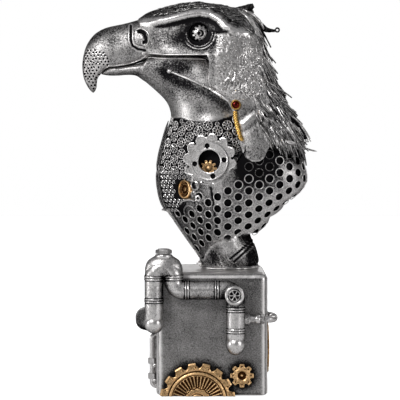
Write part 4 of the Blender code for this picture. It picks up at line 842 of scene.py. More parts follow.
# The flange that the foot stands on: a thin lip cast with the foot, light along its lowest band and at its
# very front and dark above, with a small curl at its front.
FLANGE_SIDES = 96
FLANGE_X = 0.0153
FLANGE_RADIUS = 0.0244
FLANGE_NARROWING = 0.92
FLANGE_HEIGHT = 0.0030
FLANGE_PROFILE = ((0.98, 0.0), (1.0, 0.10), (1.0, 0.30), (0.975, 0.42), (0.965, 0.55), (0.95, 0.9), (0.50, 1.0))
CURL_STEPS = 24


def solid(name, parts):
    """One object of closed shapes, each given as its points and faces."""
    points, faces = [], []
    for part_points, part_faces in parts:
        faces.extend([[index + len(points) for index in face] for face in part_faces])
        points.extend(np.asarray(part_points).tolist())
    return closed(name, points, faces)


def swept(path, radii, sides=12, flat=1.0, across=(0, 1, 0)):
    """A closed tube along a path, with a radius at each point and its section flattened by flat."""
    path = np.array(path, float)
    way = np.gradient(path, axis=0)
    way = way / np.maximum(np.linalg.norm(way, axis=1, keepdims=True), 1e-12)
    radii = np.broadcast_to(np.asarray(radii, float), len(path))
    first = np.array(across, float)
    if abs(first @ way[0]) > 0.9:
        first = np.array([0.0, 0.0, 1.0])
    angle = np.linspace(0, math.tau, sides, endpoint=False)
    rings = []
    for point, along_path, radius in zip(path, way, radii):
        first = first - along_path * (first @ along_path)
        first = first / np.linalg.norm(first)
        second = np.cross(along_path, first)
        rings.append(point + radius * (np.outer(np.cos(angle) * flat, first) + np.outer(np.sin(angle), second)))
    return np.concatenate(rings), ring_faces(len(path), sides)


def other_side(parts):
    """The mirror image of some parts, for the right side."""
    return [(np.asarray(points) * FLIP, faces) for points, faces in parts]


def on_both_sides(parts):
    """Some parts together with their mirror image."""
    return parts + other_side(parts)


angle = np.linspace(0, math.tau, FLANGE_SIDES, endpoint=False)
reach, rise = np.array(FLANGE_PROFILE).T
ripple = 1 + 0.012 * np.sin(angle * 7 + 1) + 0.008 * np.sin(angle * 17)
rings = np.stack([FLANGE_X + np.outer(reach, np.cos(angle) * ripple) * FLANGE_RADIUS,
                  np.outer(reach, np.sin(angle) * ripple) * FLANGE_RADIUS * FLANGE_NARROWING,
                  SEAT + np.outer(rise, np.ones(FLANGE_SIDES)) * FLANGE_HEIGHT], axis=2)
angle = np.linspace(0, 5.2, CURL_STEPS)
size = np.linspace(0.0024, 0.0008, CURL_STEPS)
curl = np.stack([-0.0098 - size * np.cos(angle), np.full(CURL_STEPS, -0.0060),
                 SEAT + 0.0028 + size * np.sin(angle)],
                axis=1)
foot_lip = solid("foot_flange", [(rings.reshape(-1, 3), ring_faces(len(FLANGE_PROFILE), FLANGE_SIDES))]
                 + on_both_sides([swept(curl, 0.0007, 10)]))
place = read_points(foot_lip.data)
upper = step(place[:, 2] - SEAT, 0.0011, 0.0016) * (place[:, 0] > -0.0086)
store(foot_lip.data, "tone", 0.85 - 0.95 * upper)
dress(foot_lip, sharp=50, wear=(2, 0.0002))


# Raised trim chased on the head: the lips, the rim round the nostril and small rivets on crown and cere.
# Each is laid on the finished surface along a line seen from the side.
BEAD_STEPS = 80
UPPER_LIP = ((-88.6, 164.9), (-85.0, 166.9), (-79.2, 167.2), (-71, 168.4), (-64.5, 170.0), (-58.8, 172.2),
             (-54.7, 174.8), (-50.6, 176.8), (-42.3, 175.6), (-34.1, 175.0), (-17.8, 174.9), (-6, 174.8),
             (-3.0, 173.6), (-3.2, 172.0))
LOWER_LIP = ((-54.0, 171.9), (-50.2, 173.6), (-42.3, 172.6), (-34.1, 172.2), (-17.8, 172.0), (-7, 171.8),
             (-4.6, 170.6), (-5.4, 169.4))
NOSTRIL_RIM = ((-61.5, 196.8), (-57.8, 197.4), (-54.0, 195.6), (-51.6, 191.6), (-51.6, 186.8), (-53.4, 183.9),
               (-56.0, 183.6), (-57.6, 185.4), (-56.9, 188.0), (-57.2, 190.8), (-59.0, 192.4), (-61.3, 193.2),
               (-62.4, 195.0), (-61.5, 196.8))
RIVETS = ((-56.1, 176.4, 1.5), (-54.4, 182.0, 0.8), (-49, 184.5, 0.8), (-24.7, 209.8, 0.9), (-2.6, 212.6, 0.8),
          (1.6, 214.3, 0.8), (8.4, 211.0, 0.8), (-88, 184.6, 0.5))


def turned_to(points, seat, facing, up=None):
    """Points made on a table top, x right, y up and z out, moved to a seat that faces some way."""
    out = Vector(facing).normalized()
    up = up or ((0, 1, 0.001) if abs(out.z) > 0.98 else (0, 0, 1))
    right = Vector(up).cross(out).normalized()
    turn = np.array([right, out.cross(right), out])
    return np.asarray(points) @ turn + np.array(seat)


def lathe(profile, seat=(0, 0, 0), facing=(0, 0, 1), sides=24, up=None, corners=None):
    """A turned shape: radius and height of each ring, from its underside to its top."""
    radius, height = np.array(profile, float).T
    angle = np.linspace(0, math.tau, corners or sides, endpoint=False)
    rings = np.stack([np.outer(radius, np.cos(angle)), np.outer(radius, np.sin(angle)),
                      np.outer(height, np.ones_like(angle))], axis=2)
    return turned_to(rings.reshape(-1, 3), seat, facing, up), ring_faces(len(radius), len(angle))


def hoop(radius, thick, seat=(0, 0, 0), facing=(0, 0, 1), sides=24, section=8, up=None):
    """A round ring of wire."""
    angle = np.linspace(0, math.tau, sides, endpoint=False)
    turn = np.linspace(0, math.tau, section, endpoint=False)
    reach = radius + thick * np.cos(turn)
    rings = np.stack([np.outer(np.cos(angle), reach), np.outer(np.sin(angle), reach),
                      np.outer(np.ones_like(angle), thick * np.sin(turn))], axis=2)
    return turned_to(rings.reshape(-1, 3), seat, facing, up), ring_faces(sides, section, True)


def marked(made, wear, tone):
    """Gives a piece or a motif the same wear and tone all over."""
    for key, value in (("wear", wear), ("tone", tone)):
        store(made.data, key, np.full(len(made.data.vertices), value))
    return made


def skin_of(made):
    """A search tree over an object's finished surface."""
    mesh = made.data
    return BVHTree.FromPolygons([vertex.co for vertex in mesh.vertices],
                                [list(face.vertices) for face in mesh.polygons])


def over_skin(x, z, stand=0.0):
    """The point that stands out from the left side's surface at a place in side view, and its normal."""
    start = Vector((x * UNIT, -0.09, z * UNIT + SEAT))
    hits = [hit for hit in (skin.ray_cast(start, Vector((0, 1, 0))) for skin in side_skins) if hit[0]]
    if not hits:
        return np.array([x * UNIT, -0.010 - stand, z * UNIT + SEAT]), np.array([0.0, -1.0, 0.0])
    place, normal = min(hits, key=lambda hit: hit[0].y)[:2]
    return np.array([place.x, place.y - stand, place.z]), np.array(normal)


def eased(values, rounds):
    """Values along a line, each averaged with its two neighbours over and over, where they stand."""
    for _ in range(rounds):
        values[1:-1] = (values[:-2] + values[1:-1] + values[2:]) / 3
    return values


def bead_along(places, radius, stand=0.0):
    """A raised bead that follows a side-view line over the left side's surface."""
    path = np.array([over_skin(x, z, stand)[0] for x, z in smooth_rows(places, BEAD_STEPS)])
    eased(path[:, 1], 3)
    return swept(path, radius, 8)


side_skins = [skin_of(made) for made in (head, throat, beak, mandible)]
thin_end = np.interp(np.linspace(0, 1, BEAD_STEPS), [0, 0.1, 0.93, 1], [0.0002, 0.0006, 0.0006, 0.0009])
parts = [bead_along(UPPER_LIP, thin_end, -0.0001), bead_along(LOWER_LIP, thin_end, -0.0001),
         bead_along(NOSTRIL_RIM, 0.0006)]
for x, z, radius in RIVETS:
    place, normal = over_skin(x, z)
    parts.append(lathe([(radius * UNIT * math.cos(a), radius * UNIT * (0.7 * math.sin(a) - 0.15))
                        for a in np.linspace(0, 1.5, 7)], place, normal, 18, up=(0.1, 0, 1)))
dress(marked(solid("lips_and_rivets", on_both_sides(parts)), 0.85, 0.62), sharp=60)


# The feathering: cast locks that lie down the nape and over the cheek, short strokes on the crown and
# small curls low on the cheek. Each kind is one shape set many times along the flow of the form.
def setting_tree():
    """Geometry nodes that set a copy of a motif on each point, turned to its facing and along."""
    tree = bpy.data.node_groups.new("set_on_surface", "GeometryNodeTree")
    tree.interface.new_socket("Points", in_out="INPUT", socket_type="NodeSocketGeometry")
    for name, kind in (("Motif", "Object"), ("Finish", "Material"), ("Size", "Float"), ("Size Spread", "Float"),
                       ("Turn Spread", "Float"), ("Seed", "Int")):
        tree.interface.new_socket(name, in_out="INPUT", socket_type="NodeSocket" + kind)
    tree.interface.new_socket("Set", in_out="OUTPUT", socket_type="NodeSocketGeometry")
    start = tree.nodes.new("NodeGroupInput")
    given = {socket.name: Field(tree, socket) for socket in start.outputs if socket.name}
    field = Field(tree)
    kept = {}
    for name in ("facing", "along", "size"):
        kept[name] = field.node("GeometryNodeInputNamedAttribute", {"Name": name}, 0, data_type="FLOAT_VECTOR")
    spread = field.node("FunctionNodeRandomValue", {2: -1.0, 3: 1.0, "Seed": given["Seed"]}, 1,
                        data_type="FLOAT")
    other = field.node("FunctionNodeRandomValue", {2: -1.0, 3: 1.0, "Seed": given["Seed"] + 7}, 1,
                       data_type="FLOAT")
    turn = field.node("FunctionNodeAlignRotationToVector", {"Vector": kept["facing"]}, axis="Z")
    turn = field.node("FunctionNodeAlignRotationToVector", {"Rotation": turn, "Vector": kept["along"]},
                      axis="X",
                      pivot_axis="Z")
    swing = field.node("ShaderNodeCombineXYZ", {"Z": spread * given["Turn Spread"]})
    swing = field.node("FunctionNodeEulerToRotation", {0: swing})
    turn = field.node("FunctionNodeRotateRotation", {0: turn, 1: swing}, rotation_space="LOCAL")
    scale = field.node("ShaderNodeVectorMath", {0: kept["size"],
                                                3: given["Size"] * (other * given["Size Spread"] + 1)},
                       operation="SCALE")
    motif = field.node("GeometryNodeObjectInfo", {"Object": given["Motif"]}, "Geometry")
    copies = field.node("GeometryNodeInstanceOnPoints",
                        {"Points": given["Points"], "Instance": motif, "Rotation": turn, "Scale": scale})
    copies = field.node("GeometryNodeRealizeInstances", {0: copies})
    copies = field.node("GeometryNodeSetMaterial", {"Geometry": copies, "Material": given["Finish"]})
    end = tree.nodes.new("NodeGroupOutput")
    tree.links.new(copies.socket, end.inputs[0])
    return tree


SETTING = setting_tree()


def set_on_surface(name, motif, material, places, facings, alongs, sizes=1.0, size=1.0, size_spread=0.0,
                   turn_spread=0.0, seed=1):
    """One mesh of the motif's copies on many places, in metres, and the motif is used up."""
    mesh = bpy.data.meshes.new(name)
    mesh.from_pydata(np.asarray(places, float).tolist(), [], [])
    sizes = np.asarray(sizes, float)
    if sizes.ndim < 2:
        sizes = np.repeat(np.broadcast_to(sizes, len(places))[:, None], 3, axis=1)
    for key, values in (("facing", facings), ("along", alongs), ("size", sizes)):
        layer = mesh.attributes.new(key, "FLOAT_VECTOR", "POINT")
        layer.data.foreach_set("vector", np.broadcast_to(values, (len(places), 3)).astype(np.float32).ravel())
    made = new_object(name, mesh)
    modifier = made.modifiers.new("set", "NODES")
    modifier.node_group = SETTING
    given = {"Motif": motif, "Finish": material, "Size": size, "Size Spread": size_spread,
             "Turn Spread": turn_spread, "Seed": seed}
    for item in SETTING.interface.items_tree:
        if item.in_out == "INPUT" and item.name in given:
            modifier[item.identifier] = given[item.name]
    applied(made)
    bpy.data.objects.remove(motif, do_unlink=True)
    for key in ("facing", "along", "size"):
        if key in made.data.attributes:
            made.data.attributes.remove(made.data.attributes[key])
    return made


def strewn(form, chance, count, seed):
    """Random places on the left half of a form, as likely as the chance there, with normal and flow."""
    normal = outward_of(form)
    flow = np.gradient(form, axis=0)
    area = np.linalg.norm(flow, axis=2) * np.linalg.norm(np.gradient(form, axis=1), axis=2)
    flow = flow / np.maximum(np.linalg.norm(flow, axis=2, keepdims=True), 1e-9)
    weight = (np.clip(chance, 0, None) * area).ravel()
    draw = np.random.default_rng(seed)
    picked = draw.choice(weight.size, count, replace=False, p=weight / weight.sum())
    jitter = draw.normal(0, 0.15, (count, 3))
    places = form.reshape(-1, 3)[picked] * UNIT + np.array([0, 0, SEAT]) + jitter * UNIT
    return places, normal.reshape(-1, 3)[picked], flow.reshape(-1, 3)[picked], draw


def feather(name, stations, tone, curl=0.0, lift=0.25, wear_top=0.95, wear_edge=0.10):
    """A pointed lock one unit long, wide and high, with a bright ridge and dark edges."""
    share = np.linspace(0, 1, stations)
    width = 0.5 * np.interp(share, [0, 0.25, 0.6, 1], [0.55, 1, 0.8, 0.06])
    bend = curl * share ** 2
    rise = -0.35 + (0.35 + lift) * np.sin(share * math.pi * 0.72)
    section = ((bend + width, rise - 0.15), (bend, rise + 0.55 * (1 - 0.6 * share)),
               (bend - width, rise - 0.15), (bend, rise - 0.5))
    rings = np.stack([np.stack([share, off, tall], axis=1) for off, tall in section], axis=1)
    made = solid(name, [(rings.reshape(-1, 3), ring_faces(stations, 4))])
    wear = np.tile([wear_edge, wear_top, wear_edge, wear_edge], stations)
    store(made.data, "wear", wear)
    store(made.data, "tone", np.full(len(wear), tone))
    return made


def with_mirror(*vectors):
    """Each array of vectors followed by its mirror image on the right side."""
    return [np.concatenate([values, values * FLIP]) for values in vectors]


def set_feathers(name, motif, chance, count, length, width, high, seed, turn_spread=0.25):
    """A group of cast feathers: their length and width each lie between two values, in millimetres."""
    places, normals, flows, draw = strewn(head_form, chance, count, seed)
    sizes = np.stack([draw.uniform(*length, count), draw.uniform(*width, count), np.full(count, high)],
                     axis=1) * UNIT
    made = set_on_surface(name, motif, silver, *with_mirror(places, normals, flows),
                          np.concatenate([sizes, sizes]), 1.0, 0.25, turn_spread, seed)
    return dress(made, sharp=80)


lock = feather("lock", 7, 0.40, curl=0.25)
set_feathers("nape_locks", lock, nape_chance, 620, (8, 15), (1.3, 2.3), 1.3, 81)
stroke = feather("stroke", 4, 0.18, wear_top=0.85)
set_feathers("crown_strokes", stroke, crown_chance, 520, (3, 5), (0.5, 0.8), 0.5, 82, 0.15)
down = feather("down", 4, 0.74, curl=0.4, wear_edge=0.30)
set_feathers("cheek_down", down, cheek_chance, 900, (1.8, 3.2), (0.5, 0.8), 0.55, 83, 0.7)
angle = np.linspace(0.2, 4.4, 9)
turn = np.linspace(1.0, 0.45, 9)
curl_path = np.stack([np.cos(angle) * turn, np.sin(angle) * turn, np.linspace(-0.05, 0.35, 9)], axis=1)
curl_radii = np.interp(np.linspace(0, 1, 9), [0, 0.4, 1], [0.10, 0.24, 0.08])
curl = marked(solid("curl", [swept(curl_path, curl_radii, 5)]), 0.85, 0.60)
set_feathers("cheek_curls", curl, curl_chance, 130, (1.2, 2.0), (1.2, 2.0), 1.4, 84, 3.0)


# The tufts that stand off the back of the head and hood: a crest, a thin horn that ends in a ring, two
# loose strands, a dark blade with a light strand round it, and a low spike.
TUFTS = (
    ("crest", ((12, 212.5), (20, 213.2), (27, 214.4), (31.5, 216.0), (34.6, 217.4)),
     (1.0, 2.6, 3.2, 2.8, 1.9), 0.0, 1.6),
    ("crest", ((16, 211.5), (24, 211.0), (30, 211.2), (34.2, 213.0)), (1.0, 2.4, 2.6, 1.8), 0.0, 2.0),
    ("back", ((26, 213), (33, 209), (38.5, 203.5), (41.0, 199.5)), (0.8, 1.6, 1.5, 0.3), 5.0, 1.3),
    ("back", ((30, 211), (36, 206.5), (40.5, 201.5), (42.6, 196.8)), (0.8, 1.3, 1.2, 0.3), 1.5, 1.3),
    ("back", ((22, 212), (29, 205.5), (34, 198), (37.0, 190.5)), (0.8, 1.5, 1.4, 0.3), 12.0, 1.2),
    ("back", ((25, 211), (32, 203.5), (37, 195), (39.5, 186.5)), (0.8, 1.5, 1.4, 0.3), 8.5, 1.2),
    ("horn", ((36, 205), (40.5, 200.4), (45.5, 197.4), (50.5, 196.6), (53.0, 196.9)),
     (3.2, 2.9, 1.9, 1.2, 0.9), 2.0, 1.2),
    ("strand", ((41.7, 189), (44.2, 183), (47.4, 177), (50.4, 169.6)), (0.5, 0.45, 0.4, 0.25), 2.0, 1.0),
    ("strand", ((40.7, 186), (43.0, 180.5), (46.0, 175.0), (48.4, 170.0)), (0.5, 0.45, 0.4, 0.2), 4.5, 1.0),
    ("blade", ((58, 127), (63.5, 122.4), (68.2, 118.3), (73.6, 112.6), (79.2, 105.8)),
     (1.6, 2.8, 3.2, 2.4, 0.3), 3.0, 0.5),
    ("loop", ((60, 121), (63.4, 114.6), (67.8, 109.2), (73.4, 105.8), (79.6, 104.6)),
     (0.8, 1.0, 1.1, 1.0, 0.6), 5.0, 1.0),
    ("loop", ((61, 126.4), (68.0, 123.6), (75.0, 116.6), (80.0, 108.6), (81.4, 104.4)),
     (0.7, 0.7, 0.7, 0.6, 0.4), 5.0, 1.0),
    ("spike", ((58, 104.6), (66, 102.8), (75, 99.6), (86.6, 96.6)), (1.8, 1.6, 1.1, 0.25), 3.0, 1.4),
    ("spike", ((60, 116), (66, 108.6), (71, 103.8), (77.6, 100.6)), (1.6, 1.4, 1.0, 0.25), 8.0, 1.2),
)
TUFT_TONES = {"crest": -0.02, "back": 0.26, "horn": 0.06, "strand": 0.20, "blade": -0.15, "loop": 0.95,
              "spike": 0.40}


def in_space(route, across):
    """A side-view line's points in metres, at some distance across the bust."""
    return np.stack([route[:, 0] * UNIT, np.broadcast_to(across, len(route)), route[:, 1] * UNIT + SEAT],
                    axis=1)


for kind, tone in TUFT_TONES.items():
    parts = []
    for which, line, radii, off, flat in TUFTS:
        if which == kind:
            route = smooth_rows(line, 30)
            across = np.full(30, -off * UNIT)
            if kind in ("back", "blade", "loop", "spike"):
                across = np.array([min(over_skin(x, z, 0.0004)[0][1], -off * UNIT) for x, z in route])
            thick = np.interp(np.linspace(0, 1, 30), np.linspace(0, 1, len(radii)), radii) * UNIT
            part = swept(in_space(route, eased(across, 8)), thick, 14, flat)
            parts += on_both_sides([part]) if off else [part]
    if kind == "horn":
        parts += on_both_sides([hoop(0.0016, 0.0006, (0.0544, -0.0020, SEAT + 0.1972), (0, -1, 0), 20)])
    made = solid(f"tuft_{kind}", parts)
    place = read_points(made.data)
    push = 0.00022 * grain(place[:, 0] / 0.004 + place[:, 2] / 0.012, (place[:, 0] + place[:, 2]) / 0.0009, 91)
    write_points(made.data, place + read_normals(made.data) * push[:, None])
    store(made.data, "tone", np.full(len(place), tone))
    if tone < 0.1:
        store(made.data, "wear", np.full(len(place), 0.5))
    dress(made, sharp=60)


# Plates and fittings on the front of the breast: narrow armour plates laid like scales down the edge, the
# riveted keel below them with one spike, and rings, a boss and a crescent plate round the gland.
CHEST_PLATES = (
    ((-36.6, 122), (-39.6, 112), (-42.6, 101), (-44.2, 92)),
    ((-40.6, 108), (-43.8, 97), (-45.6, 87), (-46.2, 79.6)),
    ((-45.2, 84), (-46.2, 76), (-45.4, 66), (-43.0, 57)),
    ((-45.6, 72), (-44.8, 62), (-41.8, 52.5), (-37.6, 46.1)),
)
KEEL = ((-38.4, 49), (-33.0, 41.2), (-26.4, 31.4), (-19.4, 21.4), (-12.6, 12.0), (-9.2, 6.6))
plate_parts = []
for line in CHEST_PLATES:
    for off, wide in ((1.2, 1.1), (4.6, 0.9)):
        route = in_space(smooth_rows(line, 30) + (0.55 * off, 0), -off * UNIT)
        width = np.interp(np.linspace(0, 1, 30), [0, 0.2, 0.7, 1], [0.5, 1.5, 1.6, 0.4]) * wide * UNIT
        plate_parts.append(swept(route, width, 10, 0.55, across=(1, 0, 0)))
keel_line = smooth_rows(KEEL, 60)
for off in (0.9, 3.8):
    plate_parts.append(swept(in_space(keel_line + (0.5 * off, 0), -off * UNIT), 0.0008, 8))
dome = [(0.0011 * math.cos(a), 0.0011 * math.sin(a) * 0.8 - 0.0002) for a in np.linspace(0, 1.5, 6)]
for x, z in keel_line[6::9]:
    plate_parts.append(lathe(dome, ((x + 1.2) * UNIT, -0.0026, z * UNIT + SEAT), (-0.8, -0.6, -0.3), 12))
plate_parts.append(lathe([(0.0016, -0.0010), (0.0017, 0.0002), (0.0002, 0.0030)],
                         (-0.0388, -0.0008, SEAT + 0.0486), (-1, 0, -0.25), corners=4))
chest = solid("chest_plates_and_keel", on_both_sides(plate_parts))
place = read_points(chest.data)
z = side_view(place)[1]
stripe = bump((np.abs(place[:, 1]) / UNIT) % 3.6 - 1.4, 0.5)
joints = 0.5 * bump(np.abs(z - 79.5), 1.4) + 0.3 * bump(np.abs(z - 46), 1.5)
store(chest.data, "tone", -0.15 + 0.75 * stripe + joints)
dress(chest, sharp=50, wear=(2, 0.00025))


# The pierced mantle: a thin shell below the hood, drilled all over in a staggered pattern that follows
# the surface round the back, with a dark hollow behind every hole and a rubbed rim around it.
HOLE_PITCH_ROUND = 8.4
HOLE_PITCH_UP = 4.85
HOLE_RADIUS = 3.3
HOLE_DEPTH = 2.6
HOLE_START = (4.5, 60.0)
PORTHOLE_PLACE = (-1.9, 88.7)
GLAND_PLACE = (-22.0, 65.4)
HOOD_CLEAR = 11.0
HOOD_EDGE = ((20, 104), (24, 96), (30, 88.5), (40, 89), (46, 101), (60, 100), (70, 100))


def walk_round(skin, height, centre_x=14.0, steps=500):
    """The left half of a level line round a form, from its front to its back, with its arc length."""
    found = []
    for angle in np.linspace(0.004, math.pi - 0.004, steps):
        way = Vector((-math.cos(angle), -math.sin(angle), 0))
        start = Vector((centre_x * UNIT, 0, height * UNIT + SEAT)) + way * 0.13
        hit, normal, _, _ = skin.ray_cast(start, -way)
        if hit:
            found.append((*hit, *normal))
    found = np.array(found)
    arc = np.concatenate([[0], np.cumsum(np.linalg.norm(np.diff(found[:, :3], axis=0), axis=1))]) / UNIT
    return found, arc


def staggered(skin, start, pitch_round, pitch_up, low, high, keep):
    """Places and normals of a staggered pattern round the left half, kept where keep(x, z) is true."""
    places, normals = [], []
    for level in range(math.ceil((low - start[1]) / pitch_up), math.floor((high - start[1]) / pitch_up) + 1):
        found, arc = walk_round(skin, start[1] + level * pitch_up)
        if len(found) < 20:
            continue
        side = found[:, 1] < -0.6 * np.abs(found[:, 1]).max()
        anchor = np.interp(start[0] * UNIT, found[side, 0], arc[side])
        first = anchor + (level % 2) * pitch_round
        turns = np.arange(math.ceil(-first / (2 * pitch_round)),
                          math.floor((arc[-1] - first) / (2 * pitch_round)) + 1)
        for s in first + turns * 2 * pitch_round:
            row = np.array([np.interp(s, arc, found[:, axis]) for axis in range(6)])
            x, z = row[0] / UNIT, (row[2] - SEAT) / UNIT
            if keep(x, row[1] / UNIT, z):
                places.append(row[:3])
                normals.append(row[3:] / np.linalg.norm(row[3:]))
    return np.array(places), np.array(normals)


def depth_tone(made, skin, tone, dark, depth):
    """Tone that falls to dark below a skin by depth."""
    place = read_points(made.data)
    below = np.array([skin.find_nearest(Vector(point))[3] for point in place])
    return tone + (dark - tone) * step(below, 0.15 * depth, depth)


def port_seat(box_name, yaw, side, thick):
    """The middle of the underside of a round fitting, found from its solid's box."""
    low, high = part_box(box_name)
    way = Vector((-math.sin(yaw), side * math.cos(yaw), 0))
    return (low + high) / 2 - way * thick / 2, way


PORT_YAW = math.radians(15)
GLAND_YAW = math.radians(50)
PLATE_THICKNESS = 0.0014
RING_THICKNESS = 0.0026
uncut = casting("pierced_mantle", half_form(MANTLE_ROWS, 150, 150))
mantle_skin = skin_of(uncut)


def clear_of_fittings(x, z, port_reach, gland_reach):
    """Whether a place in side view is clear of the porthole and of the gland."""
    return (math.hypot(x - PORTHOLE_PLACE[0], z - PORTHOLE_PLACE[1]) > port_reach
            and math.hypot(x - GLAND_PLACE[0], z - GLAND_PLACE[1]) > gland_reach)


def mantle_hole(x, y, z):
    front = x < -12 and z > 50
    return abs(y) > 4.5 and clear_of_fittings(x, z, 25.5, 9) and not front and inside(x, z, MANTLE_OUTLINE)


def bored(made, parts):
    """A piece with some closed shapes cut out of it."""
    return cut(made, solid("tool", parts), "DIFFERENCE")


hole_places, hole_normals = with_mirror(*staggered(mantle_skin, HOLE_START, HOLE_PITCH_ROUND, HOLE_PITCH_UP,
                                                   12, 98, mantle_hole))
DRILL = [((HOLE_RADIUS - 0.25) * UNIT, -HOLE_DEPTH * UNIT), ((HOLE_RADIUS - 0.10) * UNIT, -0.00055),
         (HOLE_RADIUS * UNIT, -0.00018), ((HOLE_RADIUS + 0.3) * UNIT, 0.0025)]
mantle = cut(uncut, prism(MANTLE_OUTLINE), "INTERSECT")
mantle = bored(mantle, [lathe(DRILL, place, normal, 14) for place, normal in zip(hole_places, hole_normals)])
for side, which in SIDES:
    seat, way = port_seat(f"porthole_cog_{which}", PORT_YAW, side, PLATE_THICKNESS)
    mantle = bored(mantle, [lathe([(0.0186, -0.0002), (0.0186, 0.03)], seat, way, 48)])
x, z = side_view(read_points(mantle.data))
SEAM = ((-0.8, 67.1), (1.2, 52.6), (3.2, 39.7), (5.6, 26.8))
shade = 0.34 + 0.34 * step(x + (60 - z) * 0.9, 20, 60) + 0.12 * spot(x, z, 2, 66, 12, 8)
# Painted shadow below the hood's edge.
shade = shade - 0.85 * bump(np.maximum(far_from(x, z, HOOD_EDGE) - 4.0, 0), 9.0) - 0.16 * step(2.0 - x, 0, 3)
shade = shade - 0.9 * bump(far_from(x, z, SEAM), 0.7)
# Painted shade over the mantle's upper back, below the hood.
shade = shade - 0.36 * step(z, 58, 72) * step(x, 14, 26) * (1 - step(x + (z - 60) * 0.55, 62, 70))
shade = np.where((x < -21) & (z > 44), -0.25, shade)
store(mantle.data, "tone", depth_tone(mantle, mantle_skin, shade, -0.4, 0.0005))
dress(mantle, sharp=50)
# Hole rims near the hood's edge are a darker, less rubbed copy: painted shade below the hood.
lit = far_from(*side_view(hole_places), HOOD_EDGE) > HOOD_CLEAR
for name, kept, wider, thick, wear, tone in (("mantle_hole_rims", lit, 0.2, 0.36, 0.9, 0.66),
                                             ("shaded_hole_rims", ~lit, 0.15, 0.30, 0.5, 0.24)):
    rim = marked(solid("rim", [hoop((HOLE_RADIUS + wider) * UNIT, thick * UNIT, sides=14, section=5)]),
                 wear, tone)
    dress(set_on_surface(name, rim, silver, hole_places[kept], hole_normals[kept], (0, 0, 1)), sharp=80)

# The lace on the breast: rows of pierced rosettes over blackened metal, with a plain bead between them.
LACE_OUTLINE = ((-60, 124.0), (-26, 122.6), (-20.3, 120.6), (-13.8, 119.3), (-7.3, 118.9), (-1.5, 118.9),
                (3.4, 119.8), (22.6, 124), (40, 124), (40, 96), (19.4, 97.7), (21, 89.6), (-21.8, 71),
                (-60, 71))
FRONT_LACE = ((-60, 86), (-21.8, 79), (-21.8, 71), (-22.5, 58), (-26.5, 50), (-31, 43), (-60, 43))
SMALL_PITCH = 4.3
SMALL_CLEAR = 0.0053
throat_skin = skin_of(throat)


def lace_place(x, y, z):
    return clear_of_fittings(x, z, 20.5, 9.5) and inside(x, z, LACE_OUTLINE)


def small_place(x, y, z):
    near = np.abs(lace_places - np.array([x, y, z + SEAT / UNIT]) * UNIT)
    return lace_place(x, y, z) and np.linalg.norm(near, axis=1).min() > SMALL_CLEAR


def front_place(x, y, z):
    return inside(x, z, FRONT_LACE) and clear_of_fittings(x, z, 0, 9)


lace_places, lace_normals = with_mirror(*staggered(throat_skin, (4.5, 113.0), 8.0, 4.6, 70, 124, lace_place))
parts = [hoop(3.75 * UNIT, 0.30 * UNIT, (0, 0, 0.0003), sides=20, section=5),
         hoop(1.15 * UNIT, 0.30 * UNIT, (0, 0, 0.0004), sides=12, section=5)]
for turn in range(8):
    angle = math.tau * turn / 8
    way = np.array([math.cos(angle), math.sin(angle), 0])
    spoke = [way * far * UNIT + (0, 0, tall) for far, tall in ((1.2, 0.0004), (2.5, 0.0006), (3.7, 0.0003))]
    parts.append(swept(spoke, [0.24 * UNIT, 0.34 * UNIT, 0.26 * UNIT], 4))
    parts.append(hoop(0.42 * UNIT, 0.16 * UNIT, way * 3.2 * UNIT + (0, 0, 0.0005), sides=6, section=4))
rosette = marked(solid("rosette", parts), 0.95, 0.66)
lace = set_on_surface("breast_lace", rosette, silver, lace_places + lace_normals * 0.0001, lace_normals,
                      (0, 0, 1),
                      size=1.04, turn_spread=0.2)
dress(lace, sharp=80)
in_breast = staggered(throat_skin, (2.0, 111.0), SMALL_PITCH / 2, SMALL_PITCH * 0.6, 70, 124, small_place)
in_front = staggered(mantle_skin, (2.0, 60.0), SMALL_PITCH / 2 + 0.2, SMALL_PITCH * 0.9, 43, 86, front_place)
small_places, small_normals = with_mirror(*(np.concatenate(pair) for pair in zip(in_breast, in_front)))
parts = [hoop(1.55 * UNIT, 0.28 * UNIT, (0, 0, 0.0003), sides=12, section=4),
         lathe([(0.5 * UNIT, -0.0003), (0.45 * UNIT, 0.0004), (0.2 * UNIT, 0.0006)], sides=6)]
small_rosette = marked(solid("small_rosette", parts), 0.95, 0.62)
dress(set_on_surface("small_lace", small_rosette, silver, small_places, small_normals, (0, 0, 1),
                     turn_spread=0.5),
      sharp=80)


# The steam pipe: cast in one, it leaves the plinth's left face, turns the corner, rises to an arch, runs
# across the front and drops back into it. Each joint is a band with two raised rims.
FACE = plinth_high.x
PIPE_RADIUS = 0.0076
PIPE_RUN = 0.0541
PIPE_BEND = 0.0078
CORNER_BEND = 0.0072
LEG_X = -0.0463
SECOND_LEG_X = -0.0307
ARCH_X = (LEG_X + SECOND_LEG_X) / 2
ARCH_HEIGHT = 0.0970
CROSS_HEIGHT = 0.0866
CORNER_HEIGHT = 0.0607
PIPE_END = FACE - 0.001
DROP_X = 0.0186
DROP_END = 0.0443
RIM_GAP = 0.0010
RIM_WIDTH = 0.00060
RIM_HEIGHT = 0.00045


def rounded(corners, bend, arc=8):
    """A route whose inner corners are turned by arcs of one bend."""
    corners = [Vector(corner) for corner in corners]
    route = [corners[0]]
    for before, corner, after in zip(corners, corners[1:], corners[2:]):
        back, on = (before - corner).normalized(), (after - corner).normalized()
        half = back.angle(on) / 2
        reach = bend / math.tan(half)
        middle = corner + (back + on).normalized() * bend / math.sin(half)
        start, end = corner + back * reach - middle, corner + on * reach - middle
        for share in np.linspace(0, 1, arc + 1):
            route.append(middle + start.slerp(end, share).normalized() * bend)
    return route + [corners[-1]]


